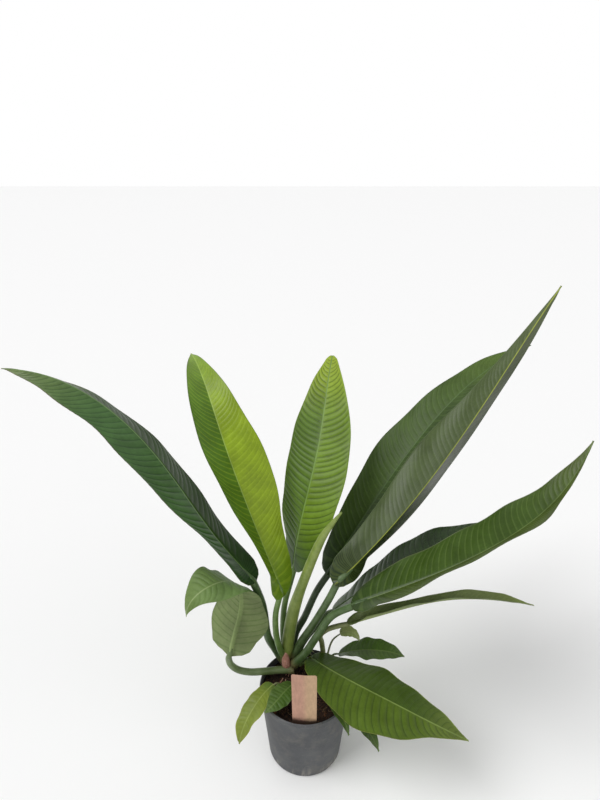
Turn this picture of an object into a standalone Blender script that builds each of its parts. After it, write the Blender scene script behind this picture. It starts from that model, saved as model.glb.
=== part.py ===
"""Potted philodendron: a young plant with long narrow leaves in a round nursery pot.

Frame: +Z up, origin at the middle of the pot's flat base, the plant's viewer at -Y.
Measures in the tables are millimetres and degrees; the objects are in metres.
Bearings turn counter-clockwise seen from above, with 0 at +X and 90 at +Y.
Climb is the angle above the horizontal.
"""
import math

import bmesh
import bpy
import numpy as np
from mathutils import Matrix, Vector, noise

MM = 0.001
GAP = 0.3

# Pot
POT_HEIGHT = 129.0
POT_RIM_RADIUS = 70.0
POT_BASE_RADIUS = 57.0
POT_WALL = 1.4
POT_CORNER = 4.0
POT_RIM_BEAD = 1.0
POT_FLOOR = 2.0
RIM_BAND = 3.4
RIM_ROUND = 1.2
POT_SIDES = 40
BASE_DISC_RADIUS = 18.0
BASE_RING_INNER = 44.0
BASE_RECESS = 2.5
DRAIN_HOLES = 6
DRAIN_RADIUS = 4.5
DRAIN_CIRCLE = 31.0
DRAIN_TURN = 34.0
NOTCH_WIDTH = 9.0
NOTCH_LENGTH = 30.0
NOTCH_CIRCLE = 51.0
NOTCH_HEIGHT = 4.6
NOTCH_TURN = 62.0

# Soil
SOIL_TOP = 117.5
SOIL_BUMP = 1.8
SOIL_RINGS = 7
HOLE_DEPTH = 14.0
HOLE_CLEARANCE = 1.6

# Stem
STEM_FOOT = (-22.0, 42.0)
STEM_RADIUS = 12.0
STEM_TOP = 146.0
STEM_BOTTOM = SOIL_TOP - HOLE_DEPTH + 2.0
STEM_SIDES = 16
SHEATH_LENGTH = 36.0
SHEATH_SHARES = (0.0, 0.35, 0.7)

# Blades
BLADE_THICKNESS = 0.9
BLADE_ROWS = 24
SMALL_BLADE_ROWS = 13
BLADE_COLUMNS = (-1.0, -0.56, -0.13, 0.0, 0.13, 0.56, 1.0)
SMALL_BLADE_COLUMNS = (-1.0, -0.45, 0.0, 0.45, 1.0)
RIB_HEIGHT = 0.7
WAVE_HEIGHT = 1.6
WAVES = 4.5
BASE_ROUNDING = 0.05
TIP_ROUNDING = 0.03
MIN_HALF_WIDTH = 1.2
TUBE_SIDES_RESOLUTION = 2
TUBE_STEP = 18.0
FINE_STEPS = 400

# Plant label
LABEL_WIDTH = 35.0
LABEL_HEIGHT = 130.0
LABEL_THICKNESS = 1.0
LABEL_LEAN = 8.0
LABEL_TURN = -4.0
LABEL_FOOT = (-1.0, -57.0, 104.0)
SLOT_DEPTH = 16.0
SLOT_PLAY = 1.4

COLOURS = {
    "pot_plastic": ((0.075, 0.080, 0.086), 0.55),
    "soil": ((0.030, 0.018, 0.012), 0.95),
    "leaf_dark": ((0.020, 0.070, 0.022), 0.38),
    "leaf_mid": ((0.045, 0.130, 0.018), 0.40),
    "leaf_bright": ((0.170, 0.330, 0.015), 0.42),
    "leaf_pale": ((0.150, 0.230, 0.070), 0.50),
    "stem": ((0.050, 0.095, 0.025), 0.45),
    "cataphyll": ((0.480, 0.230, 0.170), 0.60),
    "card": ((0.560, 0.400, 0.280), 0.85),
}

# Every leaf: where the blade starts, its length, then its direction and the half widths
# at even steps from base to tip. The petiole runs through its points to the blade's start.
LEAVES = (
    dict(name="leaf_far_left", colour="leaf_dark", base=(-71, 4, 326), length=491,
         bearing=(160, 159, 162, 170), climb=(41, 54, 31, -4), roll=(8, 5, -8),
         cup_left=(15, -22), cup_right=(7, -39), lobe=3,
         half_left=(26, 31, 50, 44, 31), half_right=(28, 33, 41, 34, 21),
         petiole=((-33, 41, 132), (-47, 43, 156), (-58, 33, 194), (-62, 27, 247), (-66, 22, 276)),
         radius=(6.5, 5.4)),
    dict(name="leaf_upper_left", colour="leaf_bright", base=(-32, -3, 311), length=427,
         bearing=(142, 130, 116, 110), climb=(61, 54, 40, -5), roll=(13, 2, -9),
         cup_left=(33, 20), cup_right=(24, 20), lobe=7,
         half_left=(29, 36, 47, 43, 26), half_right=(26, 39, 53, 42, 22),
         petiole=((-32, 37, 144), (-40, 26, 177), (-44, 18, 215), (-43, 6, 264)),
         radius=(5.2, 3.8)),
    dict(name="leaf_upper_middle", colour="leaf_bright", base=(-18, 42, 321), length=345,
         bearing=(43, 62, 78, 79), climb=(84, 58, 45, 27), roll=(-14, -4, -2),
         cup_left=(-14, 3), cup_right=(-2, 8), lobe=6,
         half_left=(25, 46, 47, 43, 28), half_right=(24, 50, 53, 46, 29), end=6,
         petiole=((-27, 50, 135), (-34, 53, 164), (-34, 50, 209), (-31, 45, 246), (-25, 41, 278)),
         radius=(5.2, 4.0)),
    dict(name="leaf_upper_right_back", colour="leaf_mid", base=(37, 54, 305), length=491,
         bearing=(35, 36, 29, 18), climb=(48, 43, 35, 16), roll=(-3, 0, 3),
         cup_left=(6, 12), cup_right=(9, 9), lobe=10,
         half_left=(26, 43, 54, 44, 28), half_right=(27, 43, 51, 42, 25),
         petiole=((-21, 52, 131), (-15, 56, 174), (0, 53, 213), (18, 52, 264)),
         radius=(6.0, 5.0)),
    dict(name="leaf_upper_right_front", colour="leaf_dark", base=(46, -10, 336), length=561,
         bearing=(26, 33, 40, 37), climb=(33, 41, 41, 43), roll=(45, 38, 25),
         cup_left=(-18, -13), cup_right=(-79, -49), lobe=9,
         half_left=(25, 37, 45, 28, 12), half_right=(12, 43, 34, 25, 17),
         petiole=((-20, 38, 141), (-6, 32, 182), (12, 17, 231), (33, -1, 295)),
         radius=(6.2, 5.0)),
    dict(name="leaf_right_back", colour="leaf_mid", base=(45, 26, 253), length=320,
         bearing=(10, 19, 24, 25), climb=(38, 23, 6, -10), roll=(-17, -6, 2),
         cup_left=(-11, 9), cup_right=(10, 10), lobe=7,
         half_left=(23, 39, 43, 39, 20), half_right=(24, 39, 44, 38, 20),
         petiole=((-16, 52, 126), (0, 53, 164), (20, 41, 209), (34, 35, 235)),
         radius=(5.0, 4.2)),
    dict(name="leaf_right_front", colour="leaf_mid", base=(68, -20, 307), length=419,
         bearing=(-3, 5, 26, 44), climb=(24, 26, 26, 53), roll=(3, -15, -10),
         cup_left=(13, 24), cup_right=(23, 31), lobe=6,
         half_left=(21, 43, 50, 45, 24), half_right=(23, 49, 38, 49, 12),
         petiole=((-17, 25, 144), (1, 11, 182), (17, -3, 229), (38, -8, 272)),
         radius=(6.2, 5.0)),
    dict(name="leaf_slender_right", colour="leaf_pale", base=(64, -3, 257), length=290,
         bearing=(6, 9, 7, 5), climb=(14, 8, -9, -17), roll=(-5, -6, -3),
         cup_left=(51, 33), cup_right=(45, 30), lobe=4,
         half_left=(11, 10, 8, 12, 11), half_right=(13, 19, 20, 20, 14),
         petiole=((27, 50, 108), (29, 42, 146), (26, 25, 187), (23, 11, 217), (36, 0, 241)),
         radius=(4.4, 3.6)),
    dict(name="leaf_front_right", colour="leaf_mid", base=(13, 14, 166), length=250,
         bearing=(-41, -31, -19, -7), climb=(3, -3, -17, -26), roll=(-7, 1, 6),
         cup_left=(-9, 7), cup_right=(-7, 5), lobe=8,
         half_left=(24, 40, 49, 38, 25), half_right=(21, 48, 62, 48, 19),
         petiole=((-16, 33, 134), (-3, 26, 148)),
         radius=(5.6, 4.6)),
    dict(name="leaf_folded_left", colour="leaf_pale", base=(-111, -1, 193), length=235,
         bearing=(232, 239, 231, 231, 212, 206), climb=(107, 118, 85, 38, -17, -89),
         roll=(19, 9, -3, -3, -18, -6),
         cup_left=(34, -16), cup_right=(10, -11), lobe=1,
         half_left=(23, 45, 35, 38, 21), half_right=(31, 46, 41, 39, 32),
         petiole=((-17, 23, 134), (-40, 22, 134), (-62, 16, 138), (-85, 11, 142), (-103, 9, 149),
                  (-113, 5, 164), (-115, 0, 182)),
         radius=(5.8, 4.8)),
)

SMALL_LEAVES = (
    dict(name="small_leaf_right", colour="leaf_mid", base=(57, 45, 145), length=104,
         bearing=(-5, -6, -7, -10), climb=(23, 10, -3, -21), roll=(-13, 2, 12),
         cup_left=(5, 17), cup_right=(17, 4), lobe=3,
         half_left=(11, 18, 22, 19, 13), half_right=(12, 17, 24, 19, 12),
         petiole=((36, 44, 108), (39, 46, 128), (47, 47, 140)), radius=(2.2, 1.8)),
    dict(name="small_leaf_back_right", colour="leaf_pale", base=(56, 46, 186), length=39,
         bearing=(7, -4, -14, -22), climb=(31, -4, -41, -75), roll=(3, 3, 4),
         cup_left=(6, 10), cup_right=(2, 5), lobe=1,
         half_left=(6, 9, 10, 8, 5), half_right=(6, 10, 10, 8, 5),
         petiole=((34, 36, 108), (35, 38, 126), (37, 42, 148), (44, 46, 171)), radius=(1.8, 1.5)),
    dict(name="small_leaf_front_left", colour="leaf_bright", base=(-50, -14, 143), length=96,
         bearing=(230, 232, 232, 241), climb=(5, -19, -45, -75), roll=(4, 1, -4),
         cup_left=(12, 9), cup_right=(8, 12), lobe=3,
         half_left=(11, 12, 20, 14, 10), half_right=(11, 13, 15, 14, 11),
         petiole=((-33, 1, 108), (-35, -2, 127), (-43, -8, 140)), radius=(2.2, 1.8)),
    dict(name="small_leaf_front_middle", colour="leaf_mid", base=(-19, -14, 145), length=61,
         bearing=(228, 233, 229, 220), climb=(11, -1, -8, -10), roll=(0, -4, -7),
         cup_left=(4, -2), cup_right=(6, 7), lobe=2,
         half_left=(9, 14, 17, 15, 9), half_right=(9, 14, 16, 14, 8),
         petiole=((-12, 3, 108), (-12, 0, 127), (-14, -6, 140)), radius=(2.0, 1.6)),
    dict(name="small_leaves_front_right", colour="leaf_mid", base=(50, -39, 136), length=86,
         bearing=(-40, -41, -45, -46), climb=(9, -14, -37, -58), roll=(-3, -5, -3),
         cup_left=(9, 12), cup_right=(14, 17), lobe=2,
         half_left=(9, 15, 16, 13, 8), half_right=(9, 15, 15, 13, 7),
         petiole=((36, -23, 108), (38, -26, 124), (44, -33, 133)), radius=(2.0, 1.6)),
)

# The second small leaf on the front right stalk.
UNDER_LEAF = dict(name="under_leaf", colour="leaf_mid", base=(40, -35, 134), length=52,
                  bearing=(-56, -58, -60, -60), climb=(6, -14, -42, -62), roll=(0, 0, 0),
                  cup_left=(10, 12), cup_right=(10, 12), lobe=2,
                  half_left=(7, 10, 10, 7, 4), half_right=(7, 10, 10, 7, 4),
                  petiole=((36, -23, 112), (37, -26, 124)), radius=(2.0, 1.6))

SPIKE = dict(name="rolled_new_leaf", colour="leaf_pale",
             points=((-30, 39, 139), (-29, 39, 152), (-18, 30, 243), (3, 10, 337), (21, -2, 399),
                     (35, -9, 430), (46, -16, 452)),
             radii=(9.8, 9.8, 9.2, 7.4, 6.8, 5.4, 1.4))
CATAPHYLL = dict(points=((-28, 31, 128), (-29, 27, 140), (-30, 27, 152), (-30, 31, 163)),
                 radii=(4.0, 7.0, 6.0, 2.0))


def clear_scene():
    for thing in list(bpy.data.objects):
        bpy.data.objects.remove(thing, do_unlink=True)


def material(name):
    found = bpy.data.materials.get(name)
    if found:
        return found
    colour, roughness = COLOURS[name]
    made = bpy.data.materials.new(name)
    made.use_nodes = True
    shader = made.node_tree.nodes["Principled BSDF"]
    shader.inputs["Base Color"].default_value = (*colour, 1.0)
    shader.inputs["Roughness"].default_value = roughness
    shader.inputs["Metallic"].default_value = 0.0
    return made


def collection(name):
    made = bpy.data.collections.new(name)
    bpy.context.scene.collection.children.link(made)
    return made


def add_object(name, data, where, colour=None):
    made = bpy.data.objects.new(name, data)
    where.objects.link(made)
    if colour:
        data.materials.clear()
        data.materials.append(material(colour))
    return made


def mesh_from(bm, name):
    made = bpy.data.meshes.new(name)
    bm.to_mesh(made)
    bm.free()
    return made


def evaluated_mesh(thing, name):
    """The mesh of an object with its modifiers applied, welded shut."""
    bpy.context.view_layer.update()
    graph = bpy.context.evaluated_depsgraph_get()
    mesh = bpy.data.meshes.new_from_object(thing.evaluated_get(graph))
    mesh.name = name
    bm = bmesh.new()
    bm.from_mesh(mesh)
    bmesh.ops.remove_doubles(bm, verts=bm.verts, dist=1e-6)
    bm.to_mesh(mesh)
    bm.free()
    return mesh


def along(values, s):
    """Smooth curve through evenly spaced values, read at s from 0 to 1."""
    values = np.asarray(values, float)
    last = len(values) - 1
    x = np.asarray(s, float) * last
    i = np.minimum(x.astype(int), last - 1)
    t = x - i
    here, following = values[i], values[i + 1]
    before = values[np.maximum(i - 1, 0)]
    after = values[np.minimum(i + 2, last)]
    slope_in = np.where(i == 0, following - here, (following - before) / 2)
    slope_out = np.where(i == last - 1, following - here, (after - here) / 2)
    return ((2 * t**3 - 3 * t**2 + 1) * here + (t**3 - 2 * t**2 + t) * slope_in
            + (3 * t**2 - 2 * t**3) * following + (t**3 - t**2) * slope_out)


def path_through(points, count):
    """Evenly spaced points on the smooth path through the given ones."""
    points = np.asarray(points, float)
    fine = np.linspace(0, 1, 200)
    dense = np.stack([along(points[:, k], fine) for k in range(3)], axis=1)
    run = np.concatenate([[0], np.cumsum(np.linalg.norm(np.diff(dense, axis=0), axis=1))])
    steps = np.linspace(0, run[-1], count)
    return np.stack([np.interp(steps, run, dense[:, k]) for k in range(3)], axis=1), run[-1]


def tube(name, points, radii, where, colour=None):
    """A round tube through points in millimetres, as a closed mesh object."""
    curve = bpy.data.curves.new(name, "CURVE")
    curve.dimensions = "3D"
    curve.bevel_depth = MM
    curve.bevel_resolution = TUBE_SIDES_RESOLUTION
    curve.use_fill_caps = True
    spline = curve.splines.new("POLY")
    spline.points.add(len(points) - 1)
    for spot, place, radius in zip(spline.points, points, radii):
        spot.co = (*(float(c) * MM for c in place), 1.0)
        spot.radius = float(radius)
    guide = bpy.data.objects.new(name + "_guide", curve)
    where.objects.link(guide)
    mesh = evaluated_mesh(guide, name)
    matrix = guide.matrix_world.copy()
    bpy.data.objects.remove(guide)
    made = add_object(name, mesh, where, colour)
    made.matrix_world = matrix
    mesh.shade_smooth()
    return made


def apply_modifiers(thing):
    mesh = evaluated_mesh(thing, thing.data.name)
    thing.modifiers.clear()
    thing.data = mesh


def join_into(thing, pieces, spare):
    """One Boolean union of a body with all its pieces, which are then removed."""
    group = bpy.data.collections.new(thing.name + "_pieces")
    spare.children.link(group)
    for piece in pieces:
        for holder in list(piece.users_collection):
            holder.objects.unlink(piece)
        group.objects.link(piece)
    union = thing.modifiers.new("union", "BOOLEAN")
    union.operation = "UNION"
    union.operand_type = "COLLECTION"
    union.collection = group
    union.solver = "EXACT"
    apply_modifiers(thing)
    for piece in pieces:
        bpy.data.objects.remove(piece, do_unlink=True)
    bpy.data.collections.remove(group)


def cut(thing, cutter):
    cutter.hide_render = True
    cutter.display_type = "WIRE"
    difference = thing.modifiers.new("cut_" + cutter.name, "BOOLEAN")
    difference.operation = "DIFFERENCE"
    difference.object = cutter
    difference.solver = "EXACT"


def cylinder(name, centre, radius, low, high, where, sides=20):
    bm = bmesh.new()
    bmesh.ops.create_cone(bm, cap_ends=True, segments=sides, radius1=radius * MM, radius2=radius * MM,
                          depth=(high - low) * MM)
    bmesh.ops.translate(bm, verts=bm.verts,
                        vec=(centre[0] * MM, centre[1] * MM, (low + high) / 2 * MM))
    return add_object(name, mesh_from(bm, name), where)


def box(name, size, centre, turn, where):
    bm = bmesh.new()
    bmesh.ops.create_cube(bm, size=1.0)
    bmesh.ops.scale(bm, verts=bm.verts, vec=[side * MM for side in size])
    made = add_object(name, mesh_from(bm, name), where)
    made.matrix_world = Matrix.Translation([c * MM for c in centre]) @ turn
    return made


def turned(name, profile, sides, where, colour=None):
    """A body turned about Z from (radius, height) points that start and end on the axis."""
    bm = bmesh.new()
    spots = [bm.verts.new((radius * MM, 0.0, height * MM)) for radius, height in profile]
    for start, end in zip(spots, spots[1:]):
        bm.edges.new((start, end))
    made = add_object(name, mesh_from(bm, name), where, colour)
    screw = made.modifiers.new("turn", "SCREW")
    screw.steps = sides
    screw.render_steps = sides
    screw.use_merge_vertices = True
    screw.merge_threshold = 1e-5
    return made


def wall_radius(height, inset=0.0):
    """Outer radius of the pot's wall at a height, less an inset."""
    share = height / POT_HEIGHT
    return POT_BASE_RADIUS + (POT_RIM_RADIUS - POT_RIM_BEAD - POT_BASE_RADIUS) * share - inset


def make_pot(parts, cutters):
    inner_floor = BASE_RECESS + POT_FLOOR
    profile = [(0, inner_floor)]
    inner_corner = POT_CORNER - POT_WALL
    for step in range(4):
        angle = math.radians(90 * step / 3)
        profile.append((wall_radius(inner_floor, POT_WALL) - inner_corner * (1 - math.sin(angle)),
                        inner_floor + inner_corner * (1 - math.cos(angle))))
    under_band = POT_HEIGHT - RIM_BAND - RIM_ROUND
    profile.append((wall_radius(POT_HEIGHT - RIM_BAND, POT_WALL), POT_HEIGHT - RIM_BAND))
    profile.append((wall_radius(POT_HEIGHT, POT_WALL), POT_HEIGHT - RIM_ROUND / 2))
    profile.append((wall_radius(POT_HEIGHT), POT_HEIGHT))
    profile.append((POT_RIM_RADIUS, POT_HEIGHT - RIM_ROUND))
    profile.append((POT_RIM_RADIUS, POT_HEIGHT - RIM_BAND))
    profile.append((wall_radius(under_band), under_band))
    profile.append((wall_radius(POT_HEIGHT / 2), POT_HEIGHT / 2))
    for step in range(4):
        angle = math.radians(90 * step / 3)
        profile.append((wall_radius(POT_CORNER) - POT_CORNER * (1 - math.cos(angle)),
                        POT_CORNER * (1 - math.sin(angle))))
    profile.append((BASE_RING_INNER, 0))
    profile.append((BASE_RING_INNER - 1, BASE_RECESS))
    profile.append((BASE_DISC_RADIUS + 1, BASE_RECESS))
    profile.append((BASE_DISC_RADIUS, 0))
    profile.append((0, 0))
    pot = turned("pot", profile, POT_SIDES, parts, "pot_plastic")
    for number in range(DRAIN_HOLES):
        angle = math.radians(360 * number / DRAIN_HOLES + DRAIN_TURN)
        spot = (DRAIN_CIRCLE * math.cos(angle), DRAIN_CIRCLE * math.sin(angle))
        cut(pot, cylinder("drain_%d" % number, spot, DRAIN_RADIUS, -5, 12, cutters, 12))
    for number in range(DRAIN_HOLES):
        angle = math.radians(360 * number / DRAIN_HOLES + NOTCH_TURN)
        spot = (NOTCH_CIRCLE * math.cos(angle), NOTCH_CIRCLE * math.sin(angle), 0)
        turn = Matrix.Rotation(angle, 4, "Z")
        cut(pot, box("notch_%d" % number, (NOTCH_LENGTH, NOTCH_WIDTH, NOTCH_HEIGHT), spot, turn, cutters))
    apply_modifiers(pot)
    pot.data.shade_smooth()
    pot.data.set_sharp_from_angle(angle=math.radians(35))
    return pot


def soil_height(x, y):
    """Height of the uneven soil at a place, in millimetres."""
    lump = noise.noise(Vector((x * 0.055, y * 0.055, 3.7)))
    grain = noise.noise(Vector((x * 0.17, y * 0.17, 9.1)))
    return SOIL_TOP + SOIL_BUMP * (lump + 0.5 * grain)


def label_turn():
    return (Matrix.Rotation(math.radians(LABEL_TURN), 4, "Z")
            @ Matrix.Rotation(math.radians(LABEL_LEAN), 4, "X"))


def label_place(height):
    """A point on the label's middle line, at a height along it."""
    return Vector(LABEL_FOOT) + label_turn().to_3x3() @ Vector((0, 0, height))


def make_soil(parts, cutters, holes):
    floor = BASE_RECESS + POT_FLOOR + GAP
    inset = POT_WALL + GAP + 0.1
    corner = POT_CORNER - POT_WALL
    edge = wall_radius(SOIL_TOP, inset)
    profile = [(0, SOIL_TOP)]
    profile += [(edge * ring / SOIL_RINGS, SOIL_TOP) for ring in range(1, SOIL_RINGS + 1)]
    for step in range(4):
        angle = math.radians(90 * step / 3)
        profile.append((wall_radius(floor, inset) - corner * (1 - math.cos(angle)),
                        floor + corner * (1 - math.sin(angle))))
    profile.append((0, floor))
    soil = turned("soil", profile, POT_SIDES, parts, "soil")
    apply_modifiers(soil)
    for vertex in soil.data.vertices:
        if vertex.co.z > (SOIL_TOP - 1) * MM:
            vertex.co.z = soil_height(vertex.co.x / MM, vertex.co.y / MM) * MM
    for number, (spot, radius, depth) in enumerate(holes):
        cut(soil, cylinder("hole_%d" % number, spot, radius, SOIL_TOP - depth, SOIL_TOP + 30, cutters, 12))
    slot = (LABEL_WIDTH + SLOT_PLAY, LABEL_THICKNESS + 2 * SLOT_PLAY, 2 * SLOT_DEPTH)
    cut(soil, box("label_slot", slot, label_place(SLOT_DEPTH - 1), label_turn(), cutters))
    apply_modifiers(soil)
    soil.data.shade_smooth()
    return soil


def leaf_frames(leaf, count=201):
    """Points on the midrib with the direction, the right side and the upper face there."""
    s = np.linspace(0, 1, count)
    bearing = np.radians(along(leaf["bearing"], s))
    climb = np.radians(along(leaf["climb"], s))
    ahead = np.stack([np.cos(climb) * np.cos(bearing), np.cos(climb) * np.sin(bearing), np.sin(climb)], 1)
    steps = (ahead[1:] + ahead[:-1]) / 2 * leaf["length"] / (count - 1)
    spots = np.asarray(leaf["base"], float) + np.concatenate([[np.zeros(3)], np.cumsum(steps, 0)])
    level = np.stack([np.sin(bearing), -np.cos(bearing), np.zeros(count)], 1)
    raised = np.cross(level, ahead)
    roll = np.radians(along(leaf["roll"], s))[:, None]
    right = np.cos(roll) * level - np.sin(roll) * raised
    upper = np.sin(roll) * level + np.cos(roll) * raised
    return s, spots, ahead, right, upper


def blade_place(leaf, frames, s, v, bump):
    """A point of the blade: s from base to tip, v from the left margin (-1) to the right (1)."""
    table, spots, ahead, right, upper = frames
    ends = max(0.0, min(1.0, (s - 0.02) / 0.1)) * (1 - s)
    s_here = min(1.0, s + 0.05 * ends * abs(v))
    pick = [np.array([np.interp(s_here, table, rows[:, k]) for k in range(3)])
            for rows in (spots, ahead, right, upper)]
    place, forward, side, face = pick
    widths = leaf["half_left"] if v < 0 else leaf["half_right"]
    cups = leaf["cup_left"] if v < 0 else leaf["cup_right"]
    round_off = min(s_here / BASE_ROUNDING, 1)
    if "end" in leaf:
        round_off = min(round_off, (1 - s_here) / TIP_ROUNDING)
    rounding = math.sqrt(max(0.0, 1 - (1 - round_off) ** 2))
    width = max(float(along((*widths, leaf.get("end", 0)), s_here)) * rounding, MIN_HALF_WIDTH)
    cup = math.radians(float(along(cups, s_here))) * min(1.0, s_here / 0.09, (1 - s_here) / 0.06)
    lobe = -leaf["lobe"] * math.exp(-(s_here / 0.06) ** 2) * min(1.0, abs(v) * 1.5)
    wave = WAVE_HEIGHT * v * v * math.sin(2 * math.pi * WAVES * s + 1.7 * v) * min(1.0, width / 25)
    reach = width * abs(v)
    return (place + lobe * forward + reach * (math.copysign(math.cos(cup), v) * side + math.sin(cup) * face)
            + (wave + bump) * face)


def make_blade(leaf, rows, columns, where):
    """The blade with its ribs and its thick midrib, as one shell."""
    frames = leaf_frames(leaf)
    starts = [0.0, 0.012, 0.035]
    places = starts + list(np.linspace(0.07, 0.992, rows + 1 - len(starts)))
    bm = bmesh.new()
    bmesh.ops.create_grid(bm, x_segments=len(columns) - 1, y_segments=rows, size=1.0)
    weights = []
    fold = max(0.0, -(leaf["cup_left"][0] + leaf["cup_right"][0])) / 100
    thick = max(1.5, 1.2 * leaf["radius"][1] * (1 - fold))
    for vert in bm.verts:
        column = round((vert.co.x + 1) / 2 * (len(columns) - 1))
        row = round((vert.co.y + 1) / 2 * rows)
        s, v = places[row], columns[column]
        bump = RIB_HEIGHT * (0.5 if row % 2 else -0.5) * min(1.0, 4 * abs(v)) * min(1.0, 8 * s, 6 * (1 - s))
        vert.co = Vector(blade_place(leaf, frames, s, v, bump) * MM)
        middle = max(0.0, 1 - abs(v) / 0.3)
        rib = (thick * (1 - s) ** 1.3 - 0.3) * middle
        thin = min(1.0, 0.5 + 8 * (1 - s))
        weights.append((BLADE_THICKNESS * thin + max(rib, 0.0)) / thick)
    bmesh.ops.triangulate(bm, faces=bm.faces, quad_method="FIXED")
    bmesh.ops.recalc_face_normals(bm, faces=bm.faces)
    bm.faces.ensure_lookup_table()
    middle_face = bm.faces[len(bm.faces) // 2]
    upper = Vector(frames[4][len(frames[0]) // 2])
    if middle_face.normal.dot(upper) < 0:
        bmesh.ops.reverse_faces(bm, faces=bm.faces)
    mesh = mesh_from(bm, leaf["name"])
    blade = add_object(leaf["name"], mesh, where, leaf["colour"])
    group = blade.vertex_groups.new(name="thickness")
    for index, weight in enumerate(weights):
        group.add([index], min(weight, 1.0), "REPLACE")
    shell = blade.modifiers.new("thickness", "SOLIDIFY")
    shell.thickness = thick * MM
    shell.offset = -1.0
    shell.vertex_group = "thickness"
    apply_modifiers(blade)
    blade.vertex_groups.clear()
    return blade, frames


def petiole_path(leaf, frames):
    """Points of the petiole, run on for a short way under the blade's midrib."""
    spots, upper = frames[1], frames[4]
    drop = 0.75 * leaf["radius"][1]
    inside = [spots[k] - upper[k] * drop for k in (5, 9)]
    return list(leaf["petiole"]) + [spots[0] - upper[0] * drop * 0.8] + inside


def stalk_tubes(name, knots, radii, on_stem, where, spare, colour=None):
    """A stalk as a tube. On the stem it is parted: the lower tube belongs to the stem."""
    rough = sum(math.dist(a, b) for a, b in zip(knots, knots[1:]))
    points, length = path_through(knots, max(6, round(rough / TUBE_STEP)))
    steps = np.linspace(0, length, len(points))
    if not on_stem:
        return tube(name, points, along(radii, steps / length), where, colour), None
    fine, _ = path_through(knots, FINE_STEPS)
    runs = np.linspace(0, length, FINE_STEPS)
    places = {}
    for run in (*(SHEATH_LENGTH * share for share in SHEATH_SHARES), *steps):
        places[run] = np.array([np.interp(run, runs, fine[:, k]) for k in range(3)])
    size_at = {run: float(along(radii, run / length)) for run in places}
    middle = np.array([np.interp(SHEATH_LENGTH, runs, fine[:, k]) for k in range(3)])
    beyond = np.array([np.interp(SHEATH_LENGTH + 1, runs, fine[:, k]) for k in range(3)])
    ahead = (beyond - middle) / np.linalg.norm(beyond - middle)
    end_size = float(along(radii, SHEATH_LENGTH / length))
    half = GAP / 2 + 0.05
    low = [SHEATH_LENGTH * share for share in SHEATH_SHARES]
    high = [run for run in steps if run > SHEATH_LENGTH + 6]
    lower = tube(name + "_sheath", [places[run] for run in low] + [middle - ahead * 2, middle - ahead * half],
                 [size_at[run] for run in low] + [end_size, end_size], spare)
    upper = tube(name, [middle + ahead * half, middle + ahead * 2] + [places[run] for run in high],
                 [end_size, end_size] + [size_at[run] for run in high], where, colour)
    return upper, lower


def make_leaf(leaf, rows, columns, parts, spare, extra=()):
    """One leaf with its petiole, and the piece of the petiole that belongs to the stem."""
    blade, frames = make_blade(leaf, rows, columns, parts)
    on_stem = leaf["petiole"][0][2] > SOIL_TOP
    stalk, sheath = stalk_tubes(leaf["name"] + "_petiole", petiole_path(leaf, frames), leaf["radius"],
                                on_stem, spare, spare)
    join_into(blade, [stalk, *extra], spare)
    blade.data.materials.clear()
    blade.data.materials.append(material(leaf["colour"]))
    blade.data.shade_smooth()
    blade.data.set_sharp_from_angle(angle=math.radians(40))
    return blade, sheath


def soil_hole(leaf):
    """Where a stalk that stands in the soil needs its plain hole: place, radius, depth."""
    foot, above = leaf["petiole"][:2]
    share = (SOIL_TOP - 4 - foot[2]) / (above[2] - foot[2])
    spot = [foot[k] + share * (above[k] - foot[k]) for k in (0, 1)]
    return spot, leaf["radius"][0] + HOLE_CLEARANCE, SOIL_TOP - foot[2] + 2


def main():
    clear_scene()
    parts = collection("potted_philodendron")
    spare = collection("construction")
    make_pot(parts, spare)

    grown = []
    for leaf in LEAVES:
        grown.append(make_leaf(leaf, BLADE_ROWS, BLADE_COLUMNS, parts, spare)[1])
    for leaf in SMALL_LEAVES:
        extra = []
        if leaf["name"] == "small_leaves_front_right":
            extra.append(make_leaf(UNDER_LEAF, SMALL_BLADE_ROWS, SMALL_BLADE_COLUMNS, spare, spare)[0])
        make_leaf(leaf, SMALL_BLADE_ROWS, SMALL_BLADE_COLUMNS, parts, spare, extra)
    grown.append(stalk_tubes(SPIKE["name"], SPIKE["points"], SPIKE["radii"], True, parts, spare,
                             SPIKE["colour"])[1])
    grown.append(tube("cataphyll", CATAPHYLL["points"], CATAPHYLL["radii"], spare))

    stem = cylinder("stem", STEM_FOOT, STEM_RADIUS, STEM_BOTTOM, STEM_TOP, parts, STEM_SIDES)
    join_into(stem, [piece for piece in grown if piece], spare)
    stem.data.materials.clear()
    stem.data.materials.append(material("stem"))
    stem.data.shade_smooth()

    holes = [(STEM_FOOT, STEM_RADIUS + HOLE_CLEARANCE, HOLE_DEPTH)]
    holes += [soil_hole(leaf) for leaf in LEAVES + SMALL_LEAVES if leaf["petiole"][0][2] < SOIL_TOP]
    make_soil(parts, spare, holes)

    label = box("plant_label", (LABEL_WIDTH, LABEL_THICKNESS, LABEL_HEIGHT), label_place(LABEL_HEIGHT / 2),
                label_turn(), parts)
    label.data.materials.append(material("card"))


main()
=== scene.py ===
"""The looks of the potted philodendron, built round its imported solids.

Frame: metres, +Z up, origin at the middle of the pot's base, the viewer at -Y.
The leaf tables are in millimetres and degrees, as in the part's source.
Bearings turn counter-clockwise seen from above, with 0 at +X and 90 at +Y.
"""

import math
import random

import bmesh
import bpy
import numpy as np
from mathutils import Matrix, Vector, noise

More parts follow.
